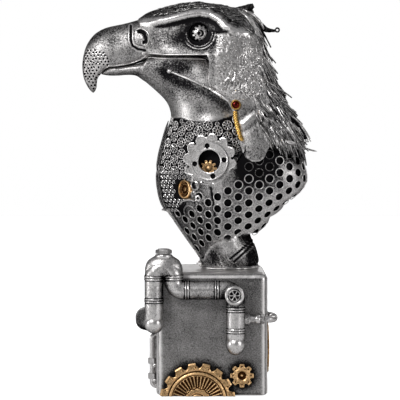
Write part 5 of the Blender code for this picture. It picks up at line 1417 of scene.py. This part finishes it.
def even_route(route, spacing):
    """The same route with evenly spaced points, and how far along each one lies."""
    route = np.array([list(point) for point in route])
    run = np.concatenate([[0], np.cumsum(np.linalg.norm(np.diff(route, axis=0), axis=1))])
    kept = np.concatenate([[True], np.diff(run) > 1e-7])
    even = np.linspace(0, run[-1], int(run[-1] / spacing))
    return np.stack([np.interp(even, run[kept], route[kept, axis]) for axis in range(3)], axis=1), even


def along_of(points, place):
    """How far along a route the point nearest to a place lies."""
    far = np.linalg.norm(points - np.array(place), axis=1)
    return int(far.argmin())


def banded(points, even, radius, bands, height=RIM_HEIGHT, gap=RIM_GAP):
    """The radius along a pipe: plain, with two raised rims and a groove at each band's place."""
    radii = np.full(len(points), radius)
    for place in bands:
        off = even - even[along_of(points, place)]
        radii = np.maximum(radii, radius + height * 0.45 * (np.abs(off) < gap))
        for rim in (-gap, gap):
            bulge = np.sqrt(np.clip(1 - ((off - rim) / RIM_WIDTH) ** 2, 0, 1))
            radii = np.maximum(radii, radius + height * bulge)
        for groove in (-gap - RIM_WIDTH * 1.5, gap + RIM_WIDTH * 1.5):
            radii = radii - 0.00045 * bump(off - groove, 0.00035)
    return radii


def on_run(x, z):
    """A place on the pipe's run in front of the plinth."""
    return x, -PIPE_RUN, z


def ball(radius, place, facing=(0, 0, 1), sides=40, stretch=1.0, rise=0.0, steps=24,
         ends=(0.05, math.pi - 0.05)):
    """A turned ball, open by a hair at its poles."""
    profile = [(radius * math.sin(a), rise - radius * stretch * math.cos(a))
               for a in np.linspace(*ends, steps)]
    return lathe(profile, place, facing, sides)


arch = [Vector(on_run(ARCH_X - PIPE_BEND * math.cos(a), ARCH_HEIGHT + PIPE_BEND * math.sin(a)))
        for a in np.linspace(0, math.pi, 24)]
PIPE_ROUTE = (
    rounded([(-PIPE_END, -0.0070, CORNER_HEIGHT), (-PIPE_RUN, -0.0070, CORNER_HEIGHT),
             (-PIPE_RUN, -FACE + PIPE_BEND * 0.6, CORNER_HEIGHT), on_run(LEG_X, CORNER_HEIGHT),
             on_run(LEG_X, ARCH_HEIGHT)], CORNER_BEND)[:-1]
    + arch
    + rounded([on_run(SECOND_LEG_X, ARCH_HEIGHT), on_run(SECOND_LEG_X, CROSS_HEIGHT),
               on_run(DROP_X, CROSS_HEIGHT),
               on_run(DROP_X, DROP_END), (DROP_X, -PIPE_END, DROP_END)], PIPE_BEND)[1:]
)
points, even = even_route(PIPE_ROUTE, 0.00042)
bands = (on_run(LEG_X, ARCH_HEIGHT - 0.0006), on_run(LEG_X, ARCH_HEIGHT - 0.0184),
         on_run(SECOND_LEG_X, ARCH_HEIGHT - 0.0006), on_run(SECOND_LEG_X + 0.0107, CROSS_HEIGHT),
         on_run(DROP_X - 0.0151, CROSS_HEIGHT), on_run(DROP_X, CROSS_HEIGHT - 0.0155),
         on_run(DROP_X, DROP_END + 0.0100), (-PIPE_RUN, -FACE + 0.024, CORNER_HEIGHT))
pipe_parts = [swept(points, banded(points, even, PIPE_RADIUS, bands), 40),
              ball(0.0077, on_run(LEG_X, 0.0600), stretch=1.06),
              ball(0.0077, on_run(DROP_X, 0.0432), stretch=1.12)]
cap_height = ARCH_HEIGHT + PIPE_BEND
BELL_HEIGHT = 0.0172
BELL_HALF_WIDTH = 0.0151
BELL = ((1.0, -0.35), (1.0, 0.0), (0.975, 0.25), (0.91, 0.5), (0.76, 0.75), (0.46, 1.0))
bell_points, bell_faces = lathe(smooth_rows(BELL, 44), sides=64)
bell_points = np.stack([ARCH_X + bell_points[:, 0] * BELL_HALF_WIDTH, -PIPE_RUN + bell_points[:, 1] * 0.0077,
                        ARCH_HEIGHT + 0.0055 + bell_points[:, 2] * (BELL_HEIGHT - 0.0055)], axis=1)
pipe_parts.append((bell_points, bell_faces))
pipe_parts.append(lathe([
    (0.0058, 0.0066), (0.0068, 0.0078), (0.0070, 0.0088), (0.0070, 0.0098), (0.0067, 0.0103), (0.0055, 0.0105),
], (ARCH_X, -PIPE_RUN, cap_height), sides=40))
BOSS_PLACE = (0.0176, -PIPE_RUN, 0.0830)
pipe_parts.append(lathe([
    (0.0077, 0.0), (0.0077, 0.0080), (0.0074, 0.0087), (0.0066, 0.0090), (0.0058, 0.0089), (0.0053, 0.0082),
    (0.0051, 0.0072), (0.0050, 0.0068),
], on_run(BOSS_PLACE[0], BOSS_PLACE[2]), (0, -1, 0), 48))
pipe_parts.append(lathe([(0.0052, 0), (0.0053, 0.0092), (0.0048, 0.0098)], (DROP_X + 0.001, -0.0492, 0.0628),
                        (1, 0, 0), 28))
pipe_parts.append(lathe([(0.0070, 0), (0.0086, 0.0004), (0.0087, 0.0016), (0.0080, 0.0026), (0.0070, 0.0028)],
                        (-PIPE_RUN, -FACE + 0.0245, CORNER_HEIGHT), (0, 1, 0), 36))
pipe = solid("steam_pipe_casting", pipe_parts)
place = read_points(pipe.data)
write_points(pipe.data, place - read_normals(pipe.data) * (0.00009 * (1 + lumps(place, 0.0022, 41)))[:, None])
x, y, z = place.T
# Painted light: the pipe gets lighter towards its top.
top_light = step((z - 0.03) / 0.08, 0.0, 1.0)
# Painted shadow in the crotch between the arch's two legs.
crotch = np.hypot((x - ARCH_X) / 0.0042, np.maximum(np.abs(z - ARCH_HEIGHT + 0.008) - 0.008, 0) / 0.005)
tone = 0.56 + 0.14 * lumps(place, 0.006, 43) + 0.06 * top_light - 0.75 * bump(crotch, 1.0)
# Painted shade on all but the front half of the pipe's run, where the sides turn away.
tone = tone - 0.52 * (1 - step((-PIPE_RUN - y) / PIPE_RADIUS, -0.1, 0.80))
cross = step(x, SECOND_LEG_X + 0.004, SECOND_LEG_X + 0.010) * (z > 0.070) * (z < 0.100)
# The cross run beside the second leg is darker, and the faces that look down get painted shade.
tone = tone - 0.20 * cross - 0.50 * np.clip(-read_normals(pipe.data)[:, 2] - 0.15, 0, 1)
from_boss = np.hypot(x - BOSS_PLACE[0], z - BOSS_PLACE[2])
tone = tone - 0.55 * bump(from_boss - 0.0090, 0.0018) * (y < -PIPE_RUN - 0.002)
for band in bands:
    at = along_of(points, band)
    run = points[min(at + 2, len(points) - 1)] - points[max(at - 2, 0)]
    off = (place - points[at]) @ (run / np.linalg.norm(run))
    near = np.linalg.norm(place - points[at], axis=1) < PIPE_RADIUS + 0.0030
    tone = tone - 0.65 * near * (bump(np.abs(off) - 0.0020, 0.00040) + bump(off, 0.00035))
store(pipe.data, "tone", tone + 0.75 * bump(from_boss - 0.0066, 0.0010) * (y < -PIPE_RUN - 0.006))
dress(pipe, ("steam_pipe",), sharp=50, wear=(3, 0.00022))


def dial(edge, height, inner=0.0, sides=240, rings=40, flip=1):
    """A round relief: its edge radius and face height come from functions, in metres."""
    angle = np.linspace(0, math.tau, sides, endpoint=False)
    rim = np.broadcast_to(edge(angle * flip), angle.shape)
    share = np.linspace(0, 1, rings)[:, None]
    start = inner if inner else rim.min() * 0.02
    radius = start + (rim[None, :] - start) * share
    tall = np.broadcast_to(height(radius, np.broadcast_to(angle * flip, radius.shape)), radius.shape)
    top = np.stack([radius * np.cos(angle), radius * np.sin(angle), tall], axis=2)
    under = np.stack([rim * np.cos(angle), rim * np.sin(angle), np.zeros_like(rim)], axis=1)[None]
    if not inner:
        points = np.concatenate([top, under]).reshape(-1, 3)
        return points, ring_faces(rings + 1, sides)
    well = np.stack([inner * np.cos(angle), inner * np.sin(angle), np.zeros_like(angle)], axis=1)[None]
    points = np.concatenate([top, under, well]).reshape(-1, 3)
    return points, ring_faces(rings + 2, sides, True)


def sat(part, seat, facing):
    """A part made on a table top, moved to its seat."""
    return turned_to(part[0], seat, facing), part[1]


def fitting(name, seat, facing, *relief, **finish):
    """A round relief as a piece of its own, set on a seat."""
    return solid(name, [sat(dial(*relief, **finish), seat, facing)])


def low_dark(made, seat, facing, low, high, tone, dark=-0.3):
    """Tone that rises from dark to its full value between two heights above a fitting's seat."""
    way = np.array(Vector(facing).normalized())
    height = (read_points(made.data) - np.array(seat)) @ way
    store(made.data, "tone", dark + (tone - dark) * step(height, low, high))


# The hexagon plug screwed into the arch's cap, and the spoked screw in the boss of the drop pipe.
plug_seat = on_run(ARCH_X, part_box("pipe_hex_plug")[0].z)
plug = solid("hex_plug", [
    lathe([(0.0064, 0), (0.0066, 0.0003), (0.0066, 0.0026), (0.0063, 0.0031), (0.0052, 0.0034)], plug_seat,
          corners=6),
    lathe([(0.0048, 0.0), (0.0048, 0.0036), (0.0044, 0.0040), (0.0026, 0.0042)], plug_seat, sides=32),
])
dress(plug, ("pipe_hex_plug",), tone=0.5, sharp=30)
screw_low, screw_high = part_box("pipe_boss_screw")
screw_seat = ((screw_low.x + screw_high.x) / 2, screw_high.y, (screw_low.z + screw_high.z) / 2)


def star_relief(radius, angle):
    spoke = np.cos(angle * 3) ** 8
    return (0.00035 + 0.00045 * spoke * (radius < 0.0040) * (radius > 0.0012)
            + 0.0006 * bump(radius, 0.0013) + 0.00035 * bump(radius - 0.0043, 0.0004))


screw = fitting("boss_screw", screw_seat, (0, -1, 0), lambda angle: 0.00465, star_relief, sides=96, rings=30)
low_dark(screw, screw_seat, (0, -1, 0), 0.0003, 0.0008, 0.75, -0.4)
dress(screw, ("pipe_boss_screw",), sharp=50, wear=(3, 0.00015))


# The branch pipe, clamped to the drop pipe by a flange, with a nut and a knob, and the thin feed line
# with two nuts up the left face.
BRANCH_RADIUS = 0.0029
BRANCH_HEIGHT = 0.0628
BRANCH_RUN = 0.0492
branch_low, branch_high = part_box("branch_pipe")
branch_start = branch_low.x
in_face = branch_high.y - BRANCH_RADIUS
points, even = even_route(rounded([
    (branch_start, -BRANCH_RUN, BRANCH_HEIGHT), (BRANCH_RUN, -BRANCH_RUN, BRANCH_HEIGHT),
    (BRANCH_RUN, in_face, BRANCH_HEIGHT), (PIPE_END, in_face, BRANCH_HEIGHT)], 0.0062), 0.0004)
radii = banded(points, even, BRANCH_RADIUS, ((FACE - 0.0045, -BRANCH_RUN, BRANCH_HEIGHT),
                                             (BRANCH_RUN, -FACE + 0.0075, BRANCH_HEIGHT)), 0.0009, 0.0008)
at = (branch_start, -BRANCH_RUN, BRANCH_HEIGHT)
branch = solid("branch_pipe_casting", [
    swept(points, radii, 28),
    lathe([(0.0037, 0), (0.0041, 0.0004), (0.0041, 0.0022), (0.0036, 0.0027)], at, (1, 0, 0), 32),
    ball(0.0037, at, (1, 0, 0), 28, rise=0.0088, steps=16, ends=(0.1, 3.04))])
dress(branch, ("branch_pipe",), tone=0.52, wear=(3, 0.00018))

feed_low, feed_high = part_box("feed_pipe")
FEED_RADIUS = 0.0022
feed_x = feed_low.x + 0.0031
feed_y = (feed_low.y + feed_high.y) / 2
points, even = even_route(rounded([(-PIPE_END, feed_y, 0.0470), (feed_x, feed_y, 0.0470),
                                   (feed_x, feed_y, 0.0042),
                                   (-PIPE_END, feed_y, 0.0042)], 0.0040), 0.0005)
feed_parts = [swept(points, FEED_RADIUS, 20)]
for height in (0.0250, 0.0125):
    feed_parts.append(lathe([(0.0031, -0.0025), (0.0035, -0.0022), (0.0035, 0.0022), (0.0031, 0.0025)],
                            (feed_x, feed_y, height), corners=6))
for height in (0.0212, 0.0088):
    feed_parts.append(ball(0.0023, (-FACE - 0.0018, feed_y - 0.0006, height), sides=20, steps=12,
                           ends=(0.1, 3.04)))
# Painted shadow: a dark strip set between the feed line and the plinth's left face, where the line's shade
# falls.
shadow_strip = [(-FACE - 0.0012, feed_y + 0.0008, z) for z in np.linspace(0.0040, 0.0470, 12)]
dress(solid("feed_line_rail", [swept(shadow_strip, 0.0016, 12)]), tone=0.0)
dress(solid("feed_line", feed_parts), ("feed_pipe",), tone=0.62)


# The brass gears on the plinth: a half gear wheel with cast fins that the plinth's foot cuts off, the
# small pinion that it meets, and a wheel with a dished face on the right side.
GEAR_THICKNESS = 0.0022
LARGE_GEAR_RADIUS = 0.0306
LARGE_GEAR_TEETH = 16
LARGE_GEAR_NOTCH = 0.0028
LARGE_GEAR_DEPTH = 0.0040
LARGE_GEAR_TURN = math.radians(87.5)


def notched(radius, teeth, half_notch, depth, first):
    """An edge with round-bottomed notches between broad teeth."""
    def edge(angle):
        step_angle = math.tau / teeth
        off = np.abs((angle - first + step_angle / 2) % step_angle - step_angle / 2) * (radius - depth * 0.4)
        return radius - depth * np.sqrt(np.clip(1 - (off / half_notch) ** 2, 0, 1))
    return edge


large_edge = notched(LARGE_GEAR_RADIUS, LARGE_GEAR_TEETH, LARGE_GEAR_NOTCH, LARGE_GEAR_DEPTH, LARGE_GEAR_TURN)


def large_relief(radius, angle):
    edge = large_edge(angle)
    fins = 0.5 + 0.5 * np.cos(angle * 40)
    hub_edge = 0.0098 + 0.0010 * np.abs(np.cos(angle * 6))
    tall = np.full(radius.shape, 0.0017)
    tall = tall + 0.0005 * bump(edge - radius - 0.0012, 0.0007)
    tall = tall - 0.0009 * bump(radius - 0.0238, 0.0005) + 0.0004 * bump(radius - 0.0219, 0.0007)
    tall = tall - 0.0008 * bump(radius - 0.0207, 0.0004)
    in_fins = step(radius, 0.0108, 0.0114) * (1 - step(radius, 0.0198, 0.0203))
    tall = tall - in_fins * (0.0011 - 0.0009 * fins ** 1.5)
    tall = tall - 0.0008 * bump(radius - hub_edge, 0.0004)
    tall = tall + 0.0005 * (1 - step(radius, hub_edge - 0.0006, hub_edge - 0.0002))
    tall = tall - 0.0008 * bump(radius - 0.0058, 0.0005)
    hole_step = math.tau / 32
    off = np.abs((angle - LARGE_GEAR_TURN + hole_step / 2) % (2 * hole_step) - hole_step) * radius
    tall = tall - 0.0009 * bump(np.hypot(off, radius - 0.0268), 0.00055)
    return np.clip(tall, 0.0003, GEAR_THICKNESS)


gear_seat = (-0.0117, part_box("large_gear")[1].y, -0.0035)
gear = fitting("large_gear_wheel", gear_seat, (0, -1, 0), large_edge, large_relief, sides=640, rings=84)
mark_wear(gear, 4, 0.00022)
table_top = 0.35 - SEAT / UNIT
deep = -40 - SEAT / UNIT
gear = cut(gear, prism(((-60, deep), (60, deep), (60, table_top), (-60, table_top))), "DIFFERENCE")
low_dark(gear, gear_seat, (0, -1, 0), 0.0005, 0.0016, 0.62)
dress(gear, ("large_gear",), brass)


def small_edge(angle):
    return notched(0.0094, 8, 0.0016, 0.0025, math.radians(22.5))(angle)


def small_relief(radius, angle):
    tall = 0.0015 + 0.0006 * bump(radius - 0.0050, 0.0010) - 0.0012 * (1 - step(radius, 0.0028, 0.0038))
    tall = tall + 0.0011 * bump(radius, 0.0012) + 0.0002 * bump(small_edge(angle) - radius - 0.0006, 0.0004)
    off = np.abs((angle + math.tau / 16) % (math.tau / 8) - math.tau / 16) * radius
    return np.clip(tall - 0.0010 * bump(np.hypot(off, radius - 0.0073), 0.0006), 0.0003,
                   GEAR_THICKNESS + 0.0003)


pinion_seat = (0.0240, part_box("small_gear")[1].y, 0.0170)
pinion = fitting("pinion", pinion_seat, (0, -1, 0), small_edge, small_relief, sides=240, rings=32)
low_dark(pinion, pinion_seat, (0, -1, 0), 0.0003, 0.0013, 0.64)
dress(pinion, ("small_gear",), brass, wear=(4, 0.00018))


def side_relief(radius, angle):
    dish = step(radius, 0.0072, 0.0078) * (1 - step(radius, 0.0138, 0.0145))
    spokes = np.clip(np.cos(angle * 6) * 3 - 1.2, 0, 1)
    tall = 0.0019 - 0.0012 * dish * (1 - spokes) + 0.0003 * bump(radius - 0.0160, 0.0008)
    tall = tall - 0.0008 * bump(radius - 0.0040, 0.0006)
    return np.clip(tall, 0.0003, GEAR_THICKNESS)


side_low, side_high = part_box("side_gear")
side_seat = (side_low.x, 0, (side_low.z + side_high.z) / 2)
side_wheel = fitting("side_wheel", side_seat, (1, 0, 0), notched(0.0208, 14, 0.0024, 0.0031, 0), side_relief,
                     sides=280, rings=36)
low_dark(side_wheel, side_seat, (1, 0, 0), 0.0006, 0.0018, 0.6)
dress(side_wheel, ("side_gear",), brass, wear=(4, 0.00022))


# The vent block above it: a small blackened casting with two slots between three rounded ribs.
vent_low, vent_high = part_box("vent_block")
vent_parts = []
height = vent_high.z - vent_low.z
for share in (0.14, 0.5, 0.86):
    path = [(vent_low.x + 0.0016, y, vent_low.z + share * height)
            for y in np.linspace(vent_low.y + 0.0012, vent_high.y - 0.0012, 12)]
    vent_parts.append(swept(path, 0.0011, 14))
vent_parts.append(lathe([(0.0056, 0), (0.0057, 0.0004), (0.0056, 0.0012), (0.0050, 0.0015)],
                        (vent_low.x, 0, (vent_low.z + vent_high.z) / 2), (1, 0, 0), corners=4, up=(0, 1, 1)))
vent = solid("vent_ribs", vent_parts)
place = read_points(vent.data)
place[:, 1] = np.clip(place[:, 1] * 1.45, vent_low.y, vent_high.y)
write_points(vent.data, np.clip(place, np.array(vent_low), np.array(vent_high)))
dress(vent, ("vent_block",), tone=0.30)


# The porthole on the breast: a toothed plate on the lace, a heavy ring with four screw holes, and a
# brass gear that shows low in its dark well.
def plate_edge(angle):
    wave = 0.5 + 0.5 * np.cos((angle + math.radians(6.5)) * 12)
    return 0.0192 + 0.0034 * wave ** 0.6


def holes_at(radius, angle, ring_radius, places, hole, depth):
    """How deep round holes at some angles of a ring go at each point."""
    deep = np.zeros(np.broadcast(radius, angle).shape)
    for degrees in places:
        off = np.hypot(radius * np.cos(angle) - ring_radius * math.cos(math.radians(degrees)),
                       radius * np.sin(angle) - ring_radius * math.sin(math.radians(degrees)))
        deep = np.maximum(deep, depth * (1 - step(off, hole * 0.85, hole * 1.1)))
    return deep


def plate_relief(radius, angle):
    tall = 0.0012 + 0.0002 * bump(plate_edge(angle) - radius - 0.0008, 0.0005)
    return tall - holes_at(radius, angle, 0.0187, (7, 67, 131, 194, 252, 308), 0.0009, 0.0011)


def bezel_relief(radius, angle):
    tall = 0.0020 + 0.0004 * bump(radius - 0.0098, 0.0004) + 0.0004 * bump(radius - 0.0150, 0.0004)
    return tall - holes_at(radius, angle, 0.0124, (5, 98, 190, 284), 0.0020, 0.0019)


def window_edge(angle):
    return 0.0060 + 0.0012 * np.clip(np.cos(angle * 10) * 2.0, -1, 1)


def window_relief(radius, angle):
    tall = 0.0009 + 0.0004 * bump(radius - 0.0048, 0.0005) + 0.0005 * bump(radius, 0.0014)
    return tall - 0.0004 * bump(radius - 0.0026, 0.0006)


for side, which in SIDES:
    seat, way = port_seat(f"porthole_cog_{which}", PORT_YAW, side, PLATE_THICKNESS)
    turn = -side
    clear = sat(dial(lambda angle: plate_edge(angle) + 0.0007, lambda radius, angle: radius * 0 + 0.025, 0,
                     144, 4,
                     turn), np.array(seat) - np.array(way) * 0.0003, way)
    throat = bored(throat, [clear])
    throat = bored(throat, [lathe([(0.0141, -0.0046), (0.0141, 0.0020)], seat, way, 48)])
    made = fitting(f"toothed_plate_{which}", seat, way, plate_edge, plate_relief, 0.0140, 240, 24, turn)
    low_dark(made, seat, way, 0.0002, 0.0011, 0.68)
    dress(made, (f"porthole_cog_{which}",), wear=(3, 0.00016))
    seat, way = port_seat(f"porthole_ring_{which}", PORT_YAW, side, RING_THICKNESS)
    made = fitting(f"porthole_bezel_{which}", seat, way, lambda angle: 0.0155, bezel_relief, 0.0092, 192,
                   28, turn)
    low_dark(made, seat, way, 0.0004, 0.0017, 0.74, -0.6)
    dress(made, (f"porthole_ring_{which}",), wear=(3, 0.0002))
    seat, way = port_seat(f"porthole_gear_{which}", PORT_YAW, side, PLATE_THICKNESS)
    made = fitting(f"porthole_pinion_{which}", seat, way, window_edge, window_relief, 0, 176, 20, turn)
    dress(made, (f"porthole_gear_{which}",), brass, tone=0.6, wear=(3, 0.00015))


# The brass gland beside it on the front of the breast: a turned ring round a dark bore.
GLAND_PROFILE = (
    (0.0075, 0), (0.0076, 0.0024), (0.0073, 0.0031), (0.0067, 0.0032), (0.0063, 0.0026), (0.0061, 0.0012),
    (0.0047, 0.0011), (0.0043, 0.0021), (0.0038, 0.0021), (0.0035, 0.0010), (0.0019, 0.0010), (0.0016, 0.0020),
    (0.0007, 0.0023))
for side, which in SIDES:
    seat, way = port_seat(f"breast_gland_{which}", GLAND_YAW, side, 0.0032)
    clear = lathe([(0.0078, -0.0002), (0.0078, 0.02)], seat, way, 40)
    throat = bored(throat, [clear])
    mantle = bored(mantle, [clear])
    made = solid(f"gland_{which}", [lathe(GLAND_PROFILE, seat, way, 48)])
    place = read_points(made.data) - np.array(seat)
    facing = np.array(Vector(way).normalized())
    from_axis = np.linalg.norm(place - np.outer(place @ facing, facing), axis=1)
    store(made.data, "tone", -0.30 + 1.25 * step(from_axis, 0.0045, 0.0051)
          + 0.42 * bump(from_axis - 0.0024, 0.0005) + 0.4 * bump(from_axis, 0.0007))
    dress(made, (f"breast_gland_{which}",), brass, sharp=50, wear=(2, 0.0002))

# Small castings round the gland: a ring with a black eye, a dark boss, a tooth with a hole, a crescent
# plate with two holes, and a thin dark hoop low on the mantle.
side_skins = [mantle_skin, throat_skin, skin_of(beak)]
fitting_parts = [hoop(0.0062, 0.0007, *over_skin(-17.6, 46.4), 32)]
for x, z, stand, sides, profile in (
        (-13.4, 69.0, 0.0008, 28, ((0.0039, -0.0008), (0.0042, 0.0002), (0.0040, 0.0014), (0.0032, 0.0018),
                                   (0.0028, 0.0012), (0.0026, 0.0003))),
        (-14.4, 62.6, 0, 24, ((0.0026, -0.0008), (0.0027, 0.0016), (0.0020, 0.0024), (0.0008, 0.0026))),
        (-11.0, 58.6, 0, 5, ((0.0030, -0.0008), (0.0029, 0.0010), (0.0014, 0.0012), (0.0010, 0.0002))),
        (-23.0, 54.4, 0.0008, 12, ((0.0010, -0.0004), (0.0010, 0.0004), (0.0004, 0.0005))),
        (-14.0, 55.2, 0.0008, 12, ((0.0010, -0.0004), (0.0010, 0.0004), (0.0004, 0.0005)))):
    fitting_parts.append(lathe(profile, *over_skin(x, z, stand), sides))
crescent = smooth_rows([(*over_skin(x, z, 0.0010)[0], radius * UNIT) for x, z, radius in (
    (-26.0, 53.0, 0.7), (-24.2, 55.0, 1.7), (-20.6, 56.8, 2.2), (-16.8, 57.2, 2.3), (-13.2, 55.6, 1.8),
    (-11.0, 53.4, 0.6))], 40)
fitting_parts.append(swept(crescent[:, :3], crescent[:, 3], 12, 0.45, across=(0.5, -1, 0)))
made = solid("gland_fittings", on_both_sides(fitting_parts))
x, z = side_view(read_points(made.data))
tone = np.full(len(x), 0.80)
for hole_x, hole_z, reach, dark in ((-13.9, 69.0, 2.5, -0.5), (-11.0, 58.6, 1.3, -0.5),
                                    (-14.4, 62.6, 2.6, 0.10),
                                    (-17.6, 46.4, 7.5, 0.12), (-23.0, 54.4, 1.1, -0.4),
                                    (-14.0, 55.2, 1.1, -0.4)):
    tone = np.where(np.hypot(x - hole_x, z - hole_z) < reach, dark, tone)
store(made.data, "tone", tone)
dress(made, sharp=50, wear=(2, 0.0003))


# The cheek rod, the pivot that it ends at, with its red stone, and the ribbed hose that hangs from it:
# all cast brass and steel, fixed along the cheek by the pivot.
HOSE_PATH = ((18.4, 129.0), (18.8, 123.5), (19.9, 117.0), (21.7, 110.5), (24.0, 104.9))
ROD_STEPS = 60
HOSE_STEPS = 130


def laid_line(line, count, stand, reach):
    """A line over the left side's surface that bridges the hollows within reach steps of it."""
    knots = np.linspace(0, 1, len(line))
    xs, zs = (np.interp(np.linspace(0, 1, count), knots, values) for values in zip(*line))
    path = np.array([over_skin(x, z, stand)[0] for x, z in zip(xs, zs)])
    near = [path[np.clip(np.arange(count) + k, 0, count - 1), 1] for k in range(-reach, reach + 1)]
    path[:, 1] = np.minimum.reduce(near)
    return path


def one_side(parts, which):
    """Parts made on the left side, or moved to the right side."""
    return parts if which == "left" else other_side(parts)


side_skins = [skin_of(piece) for piece in (head, throat)]
for side, which in SIDES:
    path = laid_line(ROD_PATH, ROD_STEPS, 0.0013, 4)
    eased(path[:, 1], 6)
    radii = np.interp(np.linspace(0, 1, ROD_STEPS), [0, 0.44, 0.46, 1], [0.0007, 0.0009, 0.0012, 0.0013])
    knob = [(0.0004, -0.0021), (0.0015, -0.0015), (0.0021, 0), (0.0015, 0.0015), (0.0004, 0.0021)]
    rod_parts = [swept(path, radii, 14), lathe(knob, path[0] - (0, 0.0008, 0), (0, -1, 0), 20)]
    for share in (0.44, 0.86):
        k = int(share * (ROD_STEPS - 1))
        rod_parts.append(hoop(0.0014, 0.0006, path[k], path[k + 1] - path[k], 20, up=(0, 1, 0)))
    made = solid(f"cheek_rod_piece_{which}", one_side(rod_parts, which))
    dress(made, (f"cheek_rod_{which}",), tone=0.62, sharp=50)

    low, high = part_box(f"hose_pivot_{which}")
    pivot_seat = ((low.x + high.x) / 2, high.y if side < 0 else low.y, (low.z + high.z) / 2)
    pivot = solid(f"pivot_{which}", [lathe([
        (0.0040, 0), (0.0041, 0.0020), (0.0038, 0.0028), (0.0033, 0.0029), (0.0029, 0.0020), (0.0028, 0.0008)],
        pivot_seat, (0, side, 0), 32)])
    stone = solid(f"pivot_stone_{which}", [lathe([
        (0.0027, 0.0004), (0.0027, 0.0014), (0.0018, 0.0019), (0.0006, 0.0021)], pivot_seat, (0, side, 0), 24)])
    dress(stone, (), red_stone, tone=0.45, sharp=50, wear=(2, 0.0003))
    dress(pivot, (f"hose_pivot_{which}",), bright_brass, tone=0.45, sharp=50, wear=(2, 0.0002))

    shares = np.linspace(0, 1, HOSE_STEPS)
    ribbed = 0.0014 + 0.0004 * np.abs(np.sin(shares * math.pi * 13)) ** 0.7
    nozzle = np.interp(shares, [0.78, 0.82, 0.95, 1.0], [0.0014, 0.0018, 0.0016, 0.0008])
    path = eased(laid_line(HOSE_PATH, HOSE_STEPS, 0.0020, 8), 12)
    made = solid(f"hose_{which}", one_side([swept(path, np.where(shares < 0.78, ribbed, nozzle), 20)], which))
    dress(made, (f"brass_hose_{which}",), bright_brass, tone=0.85, sharp=60, wear=(3, 0.00018))


# The eyes: a ball in each socket with a toothed iris plate round a deep pupil.
EYE_RADIUS = 0.0088
SOCKET_RADIUS = 0.0093
IRIS_PLACE = (0.0012, -0.0003)


def iris_parts(radius, angle):
    """How far each point of the eye lies from the iris's middle, and the iris gear's mask, 0 to 1."""
    x = radius * np.cos(angle) - IRIS_PLACE[0]
    y = radius * np.sin(angle) - IRIS_PLACE[1]
    far, turn = np.hypot(x, y), np.arctan2(y, x)
    edge = 0.0061 + 0.0007 * np.clip(np.cos(turn * 11) * 2.5, -1, 1)
    gear = step(edge - far, -0.0001, 0.0003) * step(far, 0.0026, 0.0030)
    for degrees in (15, 75, 140, 205, 265, 325):
        hole = math.radians(degrees)
        off = np.hypot(x - 0.0043 * math.cos(hole), y - 0.0043 * math.sin(hole))
        gear = gear * step(off, 0.00035, 0.00065)
    pupil_far = np.hypot(x + 0.0012, y)
    ring = bump(pupil_far - 0.0018, 0.00045)
    return far, np.clip(gear + ring * (far < 0.0034), 0, 1)


def eye_relief(radius, angle):
    ball = np.sqrt(np.clip(EYE_RADIUS ** 2 - radius ** 2, 0, None))
    far, gear = iris_parts(radius, angle)
    return ball - 0.0007 + 0.0007 * gear - 0.0006 * (1 - step(far, 0.0022, 0.0027))


for side, which in SIDES:
    low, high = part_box(f"eye_{which}")
    centre = (low + high) / 2
    head = bored(head, [ball(SOCKET_RADIUS, centre, (0, side, 0), 48)])
    flip = -side
    made = fitting(f"eye_ball_{which}", centre, (0, side, 0), lambda angle: EYE_RADIUS, eye_relief, 0, 150,
                   52, flip)
    off = (read_points(made.data) - np.array(centre)) / np.array([flip, 1, 1])
    _, gear_mask = iris_parts(np.hypot(off[:, 0], off[:, 2]), np.arctan2(off[:, 2], off[:, 0] * flip))
    store(made.data, "tone", -0.25 + 1.15 * gear_mask)
    dress(made, (f"eye_{which}",), sharp=60, wear=(2, 0.00030))
